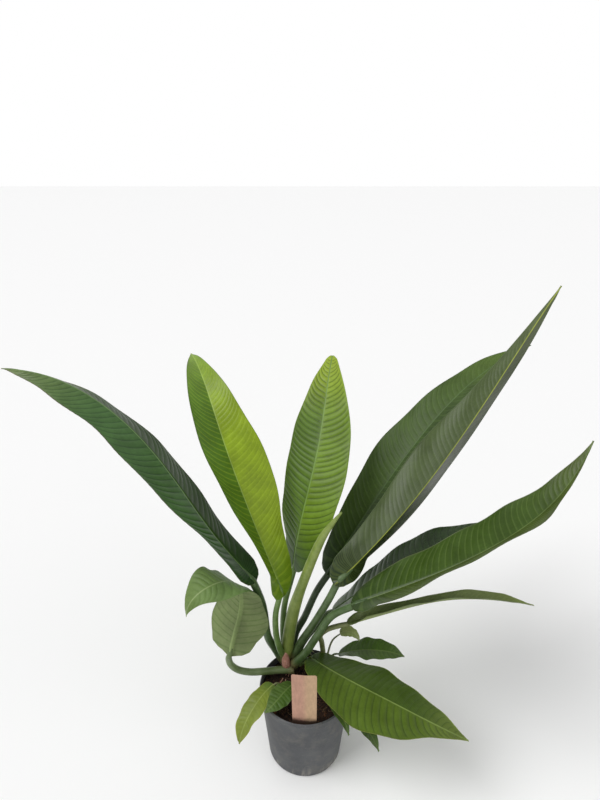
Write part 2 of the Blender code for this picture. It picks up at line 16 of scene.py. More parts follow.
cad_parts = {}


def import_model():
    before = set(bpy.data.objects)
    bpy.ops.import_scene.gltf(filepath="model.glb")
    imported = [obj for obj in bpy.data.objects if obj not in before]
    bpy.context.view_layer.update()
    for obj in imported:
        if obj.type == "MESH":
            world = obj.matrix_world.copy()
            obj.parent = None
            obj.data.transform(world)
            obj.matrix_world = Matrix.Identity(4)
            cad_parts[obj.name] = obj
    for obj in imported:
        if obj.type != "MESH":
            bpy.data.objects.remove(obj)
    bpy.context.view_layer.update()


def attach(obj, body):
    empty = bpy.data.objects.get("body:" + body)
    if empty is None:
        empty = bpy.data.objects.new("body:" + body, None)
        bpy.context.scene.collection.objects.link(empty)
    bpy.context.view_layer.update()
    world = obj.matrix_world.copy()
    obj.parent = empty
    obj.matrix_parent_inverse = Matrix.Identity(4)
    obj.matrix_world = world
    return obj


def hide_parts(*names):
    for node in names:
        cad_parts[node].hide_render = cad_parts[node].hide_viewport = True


MM = 0.001

# Camera, as the photograph was taken
CAMERA_PLACE = (-0.0077, -0.6300, 0.8640)
CAMERA_PITCH = 22.5
CAMERA_LENS = 25.2

# Blades
BLADE_THICKNESS = 0.45
MARGIN_THICKNESS = 0.22
WAVE_HEIGHT = 1.6
WAVES = 4.5
VEIN_SHEAR = (0.077, 0.077)
BASE_ROUNDING = 0.05
TIP_ROUNDING = 0.03
NOTCH_SPREAD = 0.012
MIN_HALF_WIDTH = 1.2
VEIN_STEPS = (0.0, 0.10, 0.30, 0.55, 0.80, 0.93)
COLUMNS = (0.0, 0.012, 0.028, 0.048, 0.075, 0.11, 0.16, 0.23, 0.31, 0.40, 0.49, 0.58, 0.67, 0.76,
           0.84, 0.91, 0.96, 1.0)
SMALL_COLUMNS = (0.0, 0.03, 0.07, 0.13, 0.22, 0.34, 0.48, 0.62, 0.76, 0.88, 0.96, 1.0)

# Light
WORLD_LIGHT = 0.5
KEY_LIGHT = 1.75
FILL_LIGHT = 0.45

# Stalks
TAPER_LENGTH = 22.0
SHEATH_LENGTH = 30.0

# Pot, soil and label, as in the part's source
POT_HEIGHT = 129.0
POT_RIM_RADIUS = 70.0
POT_BASE_RADIUS = 57.0
POT_WALL = 1.4
SOIL_TOP = 117.5
POT_CORNER = 4.0
POT_RIM_BEAD = 1.0
POT_FLOOR = 2.0
RIM_BAND = 3.4
RIM_ROUND = 1.2
BASE_DISC_RADIUS = 18.0
BASE_RING_INNER = 44.0
BASE_RECESS = 2.5
DRAIN_HOLES = 6
DRAIN_RADIUS = 4.5
DRAIN_CIRCLE = 31.0
DRAIN_TURN = 34.0
NOTCH_WIDTH = 9.0
NOTCH_LENGTH = 30.0
NOTCH_HEIGHT = 4.6
NOTCH_CIRCLE = 51.0
NOTCH_TURN = 62.0
SOIL_BUMP = 1.8
STEM_FOOT = (-22.0, 42.0)
STEM_RADIUS = 12.0
STEM_TOP = 146.0
STEM_BOTTOM = 105.5
LABEL_WIDTH = 35.0
LABEL_HEIGHT = 130.0
LABEL_THICKNESS = 0.9
LABEL_LEAN = 8.0
LABEL_TURN = -4.0
LABEL_FOOT = (-1.0, -57.0, 104.0)

# What lies in the soil's surface
CHIPS = 900
FIBRES = 150

LEAVES = (
    dict(name="leaf_far_left", slot="leaf_dark", paint="far_left", base=(-71, 4, 326), length=491,
         bearing=(160, 159, 162, 170), climb=(41, 54, 31, -4), roll=(8, 5, -8),
         cup_left=(15, -22), cup_right=(7, -39), lobe=3,
         half_left=(26, 31, 50, 44, 31), half_right=(28, 33, 41, 34, 21),
         petiole=((-33, 41, 132), (-47, 43, 156), (-58, 33, 194), (-62, 27, 247), (-66, 22, 276)),
         radius=(6.5, 5.4), veins=40, quilt=(1.3, 0.5)),
    dict(name="leaf_upper_left", slot="leaf_bright", paint="upper_left", base=(-32, -3, 311), length=427,
         bearing=(142, 130, 116, 110), climb=(61, 54, 40, -5), roll=(13, 2, -9),
         cup_left=(33, 20), cup_right=(24, 20), lobe=7,
         half_left=(29, 36, 47, 43, 26), half_right=(26, 39, 53, 42, 22),
         petiole=((-32, 37, 144), (-40, 26, 177), (-44, 18, 215), (-43, 6, 264)),
         radius=(5.2, 3.8), veins=48, quilt=(0.7, 0.45)),
    dict(name="leaf_upper_middle", slot="leaf_bright", paint="upper_middle", base=(-18, 42, 321), length=345,
         bearing=(43, 62, 78, 79), climb=(84, 58, 45, 27), roll=(-14, -4, -2),
         cup_left=(-14, 3), cup_right=(-2, 8), lobe=6,
         half_left=(25, 46, 47, 43, 28), half_right=(24, 50, 53, 46, 29), end=6,
         petiole=((-27, 50, 135), (-34, 53, 164), (-34, 50, 209), (-31, 45, 246), (-25, 41, 278)),
         radius=(5.2, 4.0), veins=36, quilt=(1.3, 1.2)),
    dict(name="leaf_upper_right_back", slot="leaf_mid", paint="upper_right_back", base=(37, 54, 305), length=491,
         bearing=(35, 36, 29, 18), climb=(48, 43, 35, 16), roll=(-3, 0, 3),
         cup_left=(6, 12), cup_right=(9, 9), lobe=10,
         half_left=(26, 43, 54, 44, 28), half_right=(27, 43, 51, 42, 25),
         petiole=((-21, 52, 131), (-15, 56, 174), (0, 53, 213), (18, 52, 264)),
         radius=(6.0, 5.0), veins=46, quilt=(0.6, 0.6)),
    dict(name="leaf_upper_right_front", slot="leaf_dark", paint="upper_right_front", base=(46, -10, 336), length=561,
         bearing=(26, 33, 40, 37), climb=(33, 41, 41, 43), roll=(45, 38, 25),
         cup_left=(-18, -13), cup_right=(-79, -49), lobe=9,
         half_left=(25, 37, 45, 28, 12), half_right=(12, 43, 34, 25, 17),
         petiole=((-20, 38, 141), (-6, 32, 182), (12, 17, 231), (33, -1, 295)),
         radius=(6.2, 5.0), veins=52, quilt=(0.25, 0.2)),
    dict(name="leaf_right_back", slot="leaf_mid", paint="right_back", base=(45, 26, 253), length=320,
         bearing=(10, 19, 24, 25), climb=(38, 23, 6, -10), roll=(-17, -6, 2),
         cup_left=(-11, 9), cup_right=(10, 10), lobe=7,
         half_left=(23, 39, 43, 39, 20), half_right=(24, 39, 44, 38, 20),
         petiole=((-16, 52, 126), (0, 53, 164), (20, 41, 209), (34, 35, 235)),
         radius=(5.0, 4.2), veins=26, quilt=(1.2, 1.0)),
    dict(name="leaf_right_front", slot="leaf_mid", paint="right_front", base=(68, -20, 307), length=419,
         bearing=(-3, 5, 26, 44), climb=(24, 26, 26, 53), roll=(3, -15, -10),
         cup_left=(13, 24), cup_right=(23, 31), lobe=6,
         half_left=(21, 43, 50, 45, 24), half_right=(23, 49, 38, 49, 12),
         petiole=((-17, 25, 144), (1, 11, 182), (17, -3, 229), (38, -8, 272)),
         radius=(6.2, 5.0), veins=40, quilt=(0.6, 0.6)),
    dict(name="leaf_slender_right", slot="leaf_pale", paint="slender_right", base=(64, -3, 257), length=290,
         bearing=(6, 9, 7, 5), climb=(14, 8, -9, -17), roll=(-5, -6, -3),
         cup_left=(51, 33), cup_right=(45, 30), lobe=4,
         half_left=(11, 10, 8, 12, 11), half_right=(13, 19, 20, 20, 14),
         petiole=((27, 50, 108), (29, 42, 146), (26, 25, 187), (23, 11, 217), (36, 0, 241)),
         radius=(4.4, 3.6), veins=34, quilt=(0.2, 0.2)),
    dict(name="leaf_front_right", slot="leaf_mid", paint="front_right", base=(13, 14, 166), length=250,
         bearing=(-41, -31, -19, -7), climb=(3, -3, -17, -26), roll=(-7, 1, 6),
         cup_left=(-9, 7), cup_right=(-7, 5), lobe=8,
         half_left=(24, 40, 49, 38, 25), half_right=(21, 48, 62, 48, 19),
         petiole=((-16, 33, 134), (-3, 26, 148)),
         radius=(5.6, 4.6), veins=24, quilt=(0.5, 1.6)),
    dict(name="leaf_folded_left", slot="leaf_pale", paint="folded_left", base=(-111, -1, 193), length=235,
         bearing=(232, 239, 231, 231, 212, 206), climb=(107, 118, 85, 38, -17, -89),
         roll=(19, 9, -3, -3, -18, -6),
         cup_left=(34, -16), cup_right=(10, -11), lobe=1,
         half_left=(23, 45, 35, 38, 21), half_right=(31, 46, 41, 39, 32),
         petiole=((-17, 23, 134), (-40, 22, 134), (-62, 16, 138), (-85, 11, 142), (-103, 9, 149),
                  (-113, 5, 164), (-115, 0, 182)),
         radius=(5.8, 4.8), veins=24, quilt=(1.0, 1.0)),
)

SMALL_LEAVES = (
    dict(name="small_leaf_right", slot="leaf_mid", paint="small_green", base=(57, 45, 145), length=104,
         bearing=(-5, -6, -7, -10), climb=(23, 10, -3, -21), roll=(-13, 2, 12),
         cup_left=(5, 17), cup_right=(17, 4), lobe=3,
         half_left=(11, 18, 22, 19, 13), half_right=(12, 17, 24, 19, 12),
         petiole=((36, 44, 108), (39, 46, 128), (47, 47, 140)), radius=(2.2, 1.8), veins=15, quilt=(0.5, 0.5)),
    dict(name="small_leaf_back_right", slot="leaf_pale", paint="small_pale", base=(56, 46, 186), length=39,
         bearing=(7, -4, -14, -22), climb=(31, -4, -41, -75), roll=(3, 3, 4),
         cup_left=(6, 10), cup_right=(2, 5), lobe=1,
         half_left=(6, 9, 10, 8, 5), half_right=(6, 10, 10, 8, 5),
         petiole=((34, 36, 108), (35, 38, 126), (37, 42, 148), (44, 46, 171)), radius=(1.8, 1.5), veins=8, quilt=(0.2, 0.2)),
    dict(name="small_leaf_front_left", slot="leaf_bright", paint="small_yellow", base=(-50, -14, 143), length=96,
         bearing=(230, 232, 232, 241), climb=(5, -19, -45, -75), roll=(4, 1, -4),
         cup_left=(12, 9), cup_right=(8, 12), lobe=3,
         half_left=(11, 12, 20, 14, 10), half_right=(11, 13, 15, 14, 11),
         petiole=((-33, 1, 108), (-35, -2, 127), (-43, -8, 140)), radius=(2.2, 1.8), veins=14, quilt=(0.3, 0.3)),
    dict(name="small_leaf_front_middle", slot="leaf_mid", paint="small_green", base=(-19, -14, 145), length=61,
         bearing=(228, 233, 229, 220), climb=(11, -1, -8, -10), roll=(0, -4, -7),
         cup_left=(4, -2), cup_right=(6, 7), lobe=2,
         half_left=(9, 14, 17, 15, 9), half_right=(9, 14, 16, 14, 8),
         petiole=((-12, 3, 108), (-12, 0, 127), (-14, -6, 140)), radius=(2.0, 1.6), veins=11, quilt=(0.5, 0.5)),
    dict(name="small_leaves_front_right", slot="leaf_mid", paint="small_green", base=(50, -39, 136), length=86,
         bearing=(-40, -41, -45, -46), climb=(9, -14, -37, -58), roll=(-3, -5, -3),
         cup_left=(9, 12), cup_right=(14, 17), lobe=2,
         half_left=(9, 15, 16, 13, 8), half_right=(9, 15, 15, 13, 7),
         petiole=((36, -23, 108), (38, -26, 124), (44, -33, 133)), radius=(2.0, 1.6), veins=13, quilt=(0.4, 0.4)),
    dict(name="under_leaf", slot="leaf_mid", paint="small_green", base=(40, -35, 134), length=52,
         bearing=(-56, -58, -60, -60), climb=(6, -14, -42, -62), roll=(0, 0, 0),
         cup_left=(10, 12), cup_right=(10, 12), lobe=2,
         half_left=(7, 10, 10, 7, 4), half_right=(7, 10, 10, 7, 4),
         petiole=((36, -23, 112), (37, -26, 124)), radius=(2.0, 1.6), veins=9, quilt=(0.3, 0.3)),
)

CATAPHYLL = dict(points=((-28, 31, 128), (-29, 27, 140), (-30, 27, 152), (-30, 31, 163)),
                 radii=(4.0, 7.0, 6.0, 2.0))
SPIKE = dict(points=((-30, 39, 139), (-29, 39, 152), (-18, 30, 243), (3, 10, 337), (21, -2, 399),
                     (35, -9, 430), (46, -16, 452)),
             radii=(9.8, 9.8, 9.2, 7.4, 6.8, 5.4, 1.4))

# Dry strips across the crown and pinkish rootlets at its foot, as points on their middle lines
DRY_STRIPS = (
    ((-17, 27, 150), (-8, 24, 164), (0, 22, 176), (8, 20, 178), (14, 19, 174)),
    ((-16, 29, 152), (-10, 24, 162), (-3, 22, 170), (5, 20, 171), (10, 19, 170)),
)
ROOTLETS = (
    ((-27, 27, 143), (-27, 23, 139), (-28, 20, 133), (-30, 17, 128)),
    ((-24, 26, 144), (-24, 22, 139), (-22, 19, 134), (-21, 16, 129)),
    ((-26, 26, 141), (-25, 22, 136), (-25, 19, 130), (-26, 16, 126)),
    ((-34, 12, 128), (-38, 8, 124), (-42, 5, 121), (-44, 2, 119)),
    ((-30, 11, 127), (-31, 7, 123), (-34, 4, 120), (-35, 0, 119)),
)

# Colours, 0 to 255: the two halves of the upper face, the tints towards base and tip, the side veins
# and how strongly they show, the midrib, the margin, the underside and the petiole. The halves hold
# painted light and shade: painted glare, painted shade and painted backlit glow set one half against
# the other, and the darker base tints are painted shade from the crown.
PAINTS = {
    "far_left": dict(left=(66, 100, 52), right=(44, 66, 26), base=(30, 56, 26), tip=(104, 122, 70),
                     vein=(34, 62, 34), vein_share=0.5, rib=(110, 140, 84), margin=(120, 100, 86),
                     under=(96, 122, 70), petiole=(60, 84, 44), rough=0.34),
    "upper_left": dict(left=(74, 112, 24), right=(128, 152, 14), base=(96, 128, 14), tip=(120, 150, 60),
                       vein=(160, 184, 50), vein_share=0.35, rib=(150, 176, 80), margin=(100, 120, 50),
                       under=(128, 154, 66), petiole=(84, 112, 50), rough=0.36),
    "upper_middle": dict(left=(78, 106, 24), right=(100, 128, 26), base=(50, 78, 20), tip=(150, 172, 50),
                         vein=(38, 62, 10), vein_share=0.6, rib=(112, 140, 70), margin=(130, 150, 70),
                         under=(120, 146, 60), petiole=(84, 112, 50), rough=0.4),
    "upper_right_back": dict(left=(62, 84, 28), right=(56, 76, 30), base=(34, 54, 18), tip=(86, 108, 44),
                             vein=(84, 108, 50), vein_share=0.4, rib=(84, 108, 60), margin=(70, 90, 40),
                             under=(96, 118, 62), petiole=(44, 60, 36), rough=0.42),
    "upper_right_front": dict(left=(60, 76, 44), right=(34, 50, 22), base=(34, 52, 24), tip=(86, 98, 66),
                              vein=(78, 94, 60), vein_share=0.35, rib=(150, 160, 66), margin=(104, 120, 84),
                              under=(92, 112, 62), petiole=(60, 82, 40), rough=0.33),
    "right_back": dict(left=(52, 76, 36), right=(50, 72, 30), base=(60, 84, 34), tip=(56, 78, 32),
                       vein=(36, 58, 26), vein_share=0.5, rib=(96, 120, 70), margin=(84, 104, 60),
                       under=(100, 124, 64), petiole=(64, 84, 44), rough=0.3),
    "right_front": dict(left=(54, 78, 16), right=(68, 84, 26), base=(44, 66, 18), tip=(76, 90, 36),
                        vein=(90, 112, 52), vein_share=0.45, rib=(96, 116, 60), margin=(96, 104, 60),
                        under=(98, 120, 60), petiole=(58, 82, 38), rough=0.36),
    "slender_right": dict(left=(116, 130, 74), right=(110, 126, 70), base=(100, 114, 66), tip=(128, 144, 70),
                          vein=(140, 156, 96), vein_share=0.3, rib=(140, 152, 100), margin=(150, 160, 110),
                          under=(104, 122, 66), petiole=(100, 108, 62), rough=0.42),
    "front_right": dict(left=(58, 80, 20), right=(78, 100, 26), base=(50, 72, 18), tip=(96, 112, 44),
                        vein=(52, 74, 16), vein_share=0.5, rib=(120, 140, 70), margin=(140, 150, 60),
                        under=(112, 134, 60), petiole=(80, 104, 50), rough=0.38),
    "folded_left": dict(left=(96, 122, 66), right=(96, 120, 64), base=(96, 120, 66), tip=(100, 124, 60),
                        vein=(84, 108, 56), vein_share=0.25, rib=(132, 150, 96), margin=(120, 138, 84),
                        under=(116, 130, 84), petiole=(86, 104, 58), rough=0.5),
    "small_green": dict(left=(66, 94, 30), right=(74, 98, 40), base=(60, 84, 28), tip=(84, 106, 56),
                        vein=(52, 76, 24), vein_share=0.4, rib=(96, 118, 60), margin=(90, 110, 60),
                        under=(104, 126, 70), petiole=(90, 104, 70), rough=0.4),
    "small_pale": dict(left=(140, 152, 90), right=(132, 146, 84), base=(126, 140, 84), tip=(150, 158, 110),
                       vein=(150, 160, 100), vein_share=0.3, rib=(150, 160, 104), margin=(160, 166, 110),
                       under=(140, 150, 96), petiole=(110, 116, 84), rough=0.5),
    "small_yellow": dict(left=(110, 124, 40), right=(112, 126, 44), base=(80, 104, 40), tip=(120, 132, 50),
                         vein=(92, 110, 34), vein_share=0.35, rib=(130, 144, 70), margin=(150, 150, 60),
                         under=(120, 136, 66), petiole=(120, 124, 80), rough=0.42),
}


def linear(colour):
    """The linear value of a colour given as three sRGB numbers from 0 to 255."""
    shares = [part / 255 for part in colour]
    return tuple(part / 12.92 if part <= 0.04045 else ((part + 0.055) / 1.055) ** 2.4 for part in shares)


class Paint:
    """Short names for building one material's nodes."""

    def __init__(self, name):
        self.material = bpy.data.materials.new(name)
        self.material.use_nodes = True
        self.tree = self.material.node_tree
        self.shader = self.tree.nodes["Principled BSDF"]

    def _set(self, socket, given):
        if isinstance(given, bpy.types.NodeSocket):
            self.tree.links.new(given, socket)
        elif isinstance(given, tuple) and len(given) == 3 and len(socket.default_value) == 4:
            socket.default_value = (*given, 1.0)
        else:
            socket.default_value = given

    def attribute(self, name):
        node = self.tree.nodes.new("ShaderNodeAttribute")
        node.attribute_name = name
        return node.outputs["Fac"]

    def height(self):
        """Height above the ground, in metres."""
        node = self.tree.nodes.new("ShaderNodeSeparateXYZ")
        self.tree.links.new(self.place(), node.inputs[0])
        return node.outputs["Z"]

    def place(self):
        return self.tree.nodes.new("ShaderNodeTexCoord").outputs["Object"]

    def math(self, operation, *given, clamp=False):
        node = self.tree.nodes.new("ShaderNodeMath")
        node.operation = operation
        node.use_clamp = clamp
        for socket, item in zip(node.inputs, given):
            self._set(socket, item)
        return node.outputs[0]

    def smooth(self, item, low, high, start=0.0, end=1.0):
        node = self.tree.nodes.new("ShaderNodeMapRange")
        node.interpolation_type = "SMOOTHSTEP"
        for socket, thing in zip(node.inputs, (item, low, high, start, end)):
            self._set(socket, thing)
        return node.outputs["Result"]

    def mix(self, share, first, second, blend="MIX"):
        node = self.tree.nodes.new("ShaderNodeMix")
        node.data_type = "RGBA"
        node.blend_type = blend
        self._set(node.inputs["Factor"], share)
        self._set(node.inputs[6], first)
        self._set(node.inputs[7], second)
        return node.outputs[2]

    def noise(self, scale, detail=3.0, roughness=0.55, vector=None, stretch=None):
        node = self.tree.nodes.new("ShaderNodeTexNoise")
        vector = vector or self.place()
        if stretch:
            mapping = self.tree.nodes.new("ShaderNodeMapping")
            mapping.inputs["Scale"].default_value = stretch
            self.tree.links.new(vector, mapping.inputs["Vector"])
            vector = mapping.outputs["Vector"]
        self.tree.links.new(vector, node.inputs["Vector"])
        node.inputs["Scale"].default_value = scale
        node.inputs["Detail"].default_value = detail
        node.inputs["Roughness"].default_value = roughness
        return node.outputs["Fac"]

    def voronoi(self, scale, feature="F1", output="Distance"):
        node = self.tree.nodes.new("ShaderNodeTexVoronoi")
        node.feature = feature
        self.tree.links.new(self.place(), node.inputs["Vector"])
        node.inputs["Scale"].default_value = scale
        return node.outputs[output]

    def bump(self, height, strength, distance, under=None):
        node = self.tree.nodes.new("ShaderNodeBump")
        node.inputs["Strength"].default_value = strength
        node.inputs["Distance"].default_value = distance
        self._set(node.inputs["Height"], height)
        if under is not None:
            self.tree.links.new(under, node.inputs["Normal"])
        return node.outputs["Normal"]

    def finish(self, colour, roughness, normal=None, **fixed):
        self._set(self.shader.inputs["Base Color"], colour)
        self._set(self.shader.inputs["Roughness"], roughness)
        if normal is not None:
            self.tree.links.new(normal, self.shader.inputs["Normal"])
        for name, given in fixed.items():
            self.shader.inputs[name.replace("_", " ")].default_value = given
        return self.material


def leaf_material(name, look):
    """Leaf skin from the blade's own attributes: halves with painted light and shade, a base tint that is painted
    shade on most blades, veins, midrib, margin, underside.
    """
    paint = Paint(name)
    tone = {key: linear(value) for key, value in look.items() if isinstance(value, tuple)}
    across, along = paint.attribute("across"), paint.attribute("along")
    phase, under = paint.attribute("phase"), paint.attribute("under")
    rim, rib = paint.attribute("rim"), paint.attribute("rib")

    # Painted light and shade: the two halves' colours carry painted glare, painted shade and painted backlit glow,
    # each leaf in its own way.
    upper = paint.mix(paint.smooth(across, -0.04, 0.04), tone["left"], tone["right"])
    # Painted shade: the tint towards the base darkens most blades where the crown shades them.
    upper = paint.mix(paint.smooth(along, 0.22, 0.0), upper, tone["base"])
    upper = paint.mix(paint.smooth(along, 0.62, 1.0), upper, tone["tip"])
    to_vein = paint.math("ABSOLUTE", paint.math("SUBTRACT", paint.math("FRACT", paint.math("ADD", phase, 0.5)), 0.5))
    vein = paint.smooth(to_vein, 0.20, 0.0)
    off_rib = paint.smooth(rib, 0.4, 3.0)
    off_rim = paint.smooth(rim, 0.5, 5.0)
    vein = paint.math("MULTIPLY", vein, paint.math("MULTIPLY", off_rib, off_rim))
    upper = paint.mix(paint.math("MULTIPLY", vein, look["vein_share"]), upper, tone["vein"])
    fine = paint.math("ABSOLUTE", paint.math("SUBTRACT", paint.math("FRACT", paint.math("MULTIPLY", phase, 5.0)), 0.5))
    fine = paint.smooth(fine, 0.5, 0.1)
    upper = paint.mix(paint.math("MULTIPLY", fine, 0.10), upper, tone["rib"])
    patches = paint.noise(28.0, 4.0, 0.6)
    grain = paint.noise(260.0, 2.0, 0.6)
    shade = paint.smooth(patches, 0.25, 0.75, 0.82, 1.16)
    shade = paint.math("MULTIPLY", shade, paint.smooth(grain, 0.2, 0.8, 0.93, 1.07))
    upper = paint.mix(paint.smooth(rib, 1.3, 0.5), upper, tone["rib"])
    upper = paint.mix(paint.math("MULTIPLY", paint.smooth(rim, 1.1, 0.2), 0.8), upper, tone["margin"])

    below = paint.mix(paint.math("MULTIPLY", paint.smooth(to_vein, 0.16, 0.02), 0.55), tone["under"], tone["vein"])
    below = paint.mix(paint.smooth(rib, 4.5, 2.0), below, tone["rib"])
    colour = paint.mix(paint.smooth(under, 0.35, 0.65), upper, below)
    colour = paint.mix(1.0, colour, shade, "MULTIPLY")

    height = paint.math("MULTIPLY", fine, 0.35)
    height = paint.math("ADD", height, paint.math("MULTIPLY", grain, 0.5))
    normal = paint.bump(height, 0.35, 0.0003)
    rough = paint.smooth(patches, 0.2, 0.8, look["rough"] - 0.05, look["rough"] + 0.09)
    rough = paint.math("ADD", rough, paint.math("MULTIPLY", under, 0.18), clamp=True)
    return paint.finish(colour, rough, normal, Specular_IOR_Level=0.28)


def stalk_material(name, colour, pale, rough=0.42):
    """Green stalk: fine lengthwise lines, cloudy patches, and a paler foot."""
    paint = Paint(name)
    round_, along = paint.attribute("across"), paint.attribute("along")
    lines = paint.math("SINE", paint.math("MULTIPLY", round_, 60.0))
    patches = paint.noise(60.0, 4.0, 0.6)
    tone = paint.mix(paint.smooth(patches, 0.3, 0.7), linear(colour), linear(pale))
    tone = paint.mix(paint.math("MULTIPLY", paint.smooth(lines, -0.2, 1.0), 0.18), tone, linear(pale))
    tone = paint.mix(paint.math("MULTIPLY", paint.smooth(along, 0.10, 0.0), 0.45), tone, (0.24, 0.14, 0.07))
    height = paint.math("ADD", paint.math("MULTIPLY", lines, 0.4), paint.noise(300.0, 2.0))
    return paint.finish(tone, rough, paint.bump(height, 0.3, 0.0003))


def along_curve(values, s):
    """Smooth curve through evenly spaced values, read at s from 0 to 1."""
    values = np.asarray(values, float)
    last = len(values) - 1
    x = np.asarray(s, float) * last
    i = np.minimum(x.astype(int), last - 1)
    t = x - i
    here, following = values[i], values[i + 1]
    before = values[np.maximum(i - 1, 0)]
    after = values[np.minimum(i + 2, last)]
    slope_in = np.where(i == 0, following - here, (following - before) / 2)
    slope_out = np.where(i == last - 1, following - here, (after - here) / 2)
    return ((2 * t**3 - 3 * t**2 + 1) * here + (t**3 - 2 * t**2 + t) * slope_in
            + (3 * t**2 - 2 * t**3) * following + (t**3 - t**2) * slope_out)


def smoothstep(x, low, high):
    t = np.clip((x - low) / (high - low), 0, 1)
    return t * t * (3 - 2 * t)


def path_through(points, count):
    """Evenly spaced points on the smooth path through the given ones."""
    points = np.asarray(points, float)
    fine = np.linspace(0, 1, 400)
    dense = np.stack([along_curve(points[:, k], fine) for k in range(3)], axis=1)
    run = np.concatenate([[0], np.cumsum(np.linalg.norm(np.diff(dense, axis=0), axis=1))])
    steps = np.linspace(0, run[-1], count)
    return np.stack([np.interp(steps, run, dense[:, k]) for k in range(3)], axis=1), run[-1]


def leaf_frames(leaf, count=401):
    """Points on the midrib with the direction, the right side and the upper face there."""
    s = np.linspace(0, 1, count)
    bearing = np.radians(along_curve(leaf["bearing"], s))
    climb = np.radians(along_curve(leaf["climb"], s))
    ahead = np.stack([np.cos(climb) * np.cos(bearing), np.cos(climb) * np.sin(bearing), np.sin(climb)], 1)
    steps = (ahead[1:] + ahead[:-1]) / 2 * leaf["length"] / (count - 1)
    spots = np.asarray(leaf["base"], float) + np.concatenate([[np.zeros(3)], np.cumsum(steps, 0)])
    level = np.stack([np.sin(bearing), -np.cos(bearing), np.zeros(count)], 1)
    raised = np.cross(level, ahead)
    roll = np.radians(along_curve(leaf["roll"], s))[:, None]
    right = np.cos(roll) * level - np.sin(roll) * raised
    upper = np.sin(roll) * level + np.cos(roll) * raised
    return s, spots, ahead, right, upper


def half_width(leaf, v, s):
    """Half the blade's width in millimetres, on the side that the sign of v names."""
    end = leaf.get("end", 0)
    left = along_curve((*leaf["half_left"], end), s)
    right = along_curve((*leaf["half_right"], end), s)
    round_off = np.minimum(s / BASE_ROUNDING, 1)
    if "end" in leaf:
        round_off = np.minimum(round_off, (1 - s) / TIP_ROUNDING)
    rounding = np.sqrt(np.clip(1 - (1 - round_off) ** 2, 0, 1))
    place, depth = leaf.get("notch", (0.5, 0.0))
    left = left * (1 - depth * np.exp(-(((s - place) / NOTCH_SPREAD) ** 2)))
    return np.maximum(np.where(v < 0, left, right) * rounding, MIN_HALF_WIDTH)


def quads(rows, columns, offset=0, flip=False):
    faces = []
    for row in range(rows - 1):
        for column in range(columns - 1):
            a = offset + row * columns + column
            face = (a, a + 1, a + columns + 1, a + columns)
            faces.append(face[::-1] if flip else face)
    return faces


def add_attributes(mesh, values):
    for name, numbers in values.items():
        made = mesh.attributes.new(name, "FLOAT", "POINT")
        made.data.foreach_set("value", np.asarray(numbers, np.float32).ravel())


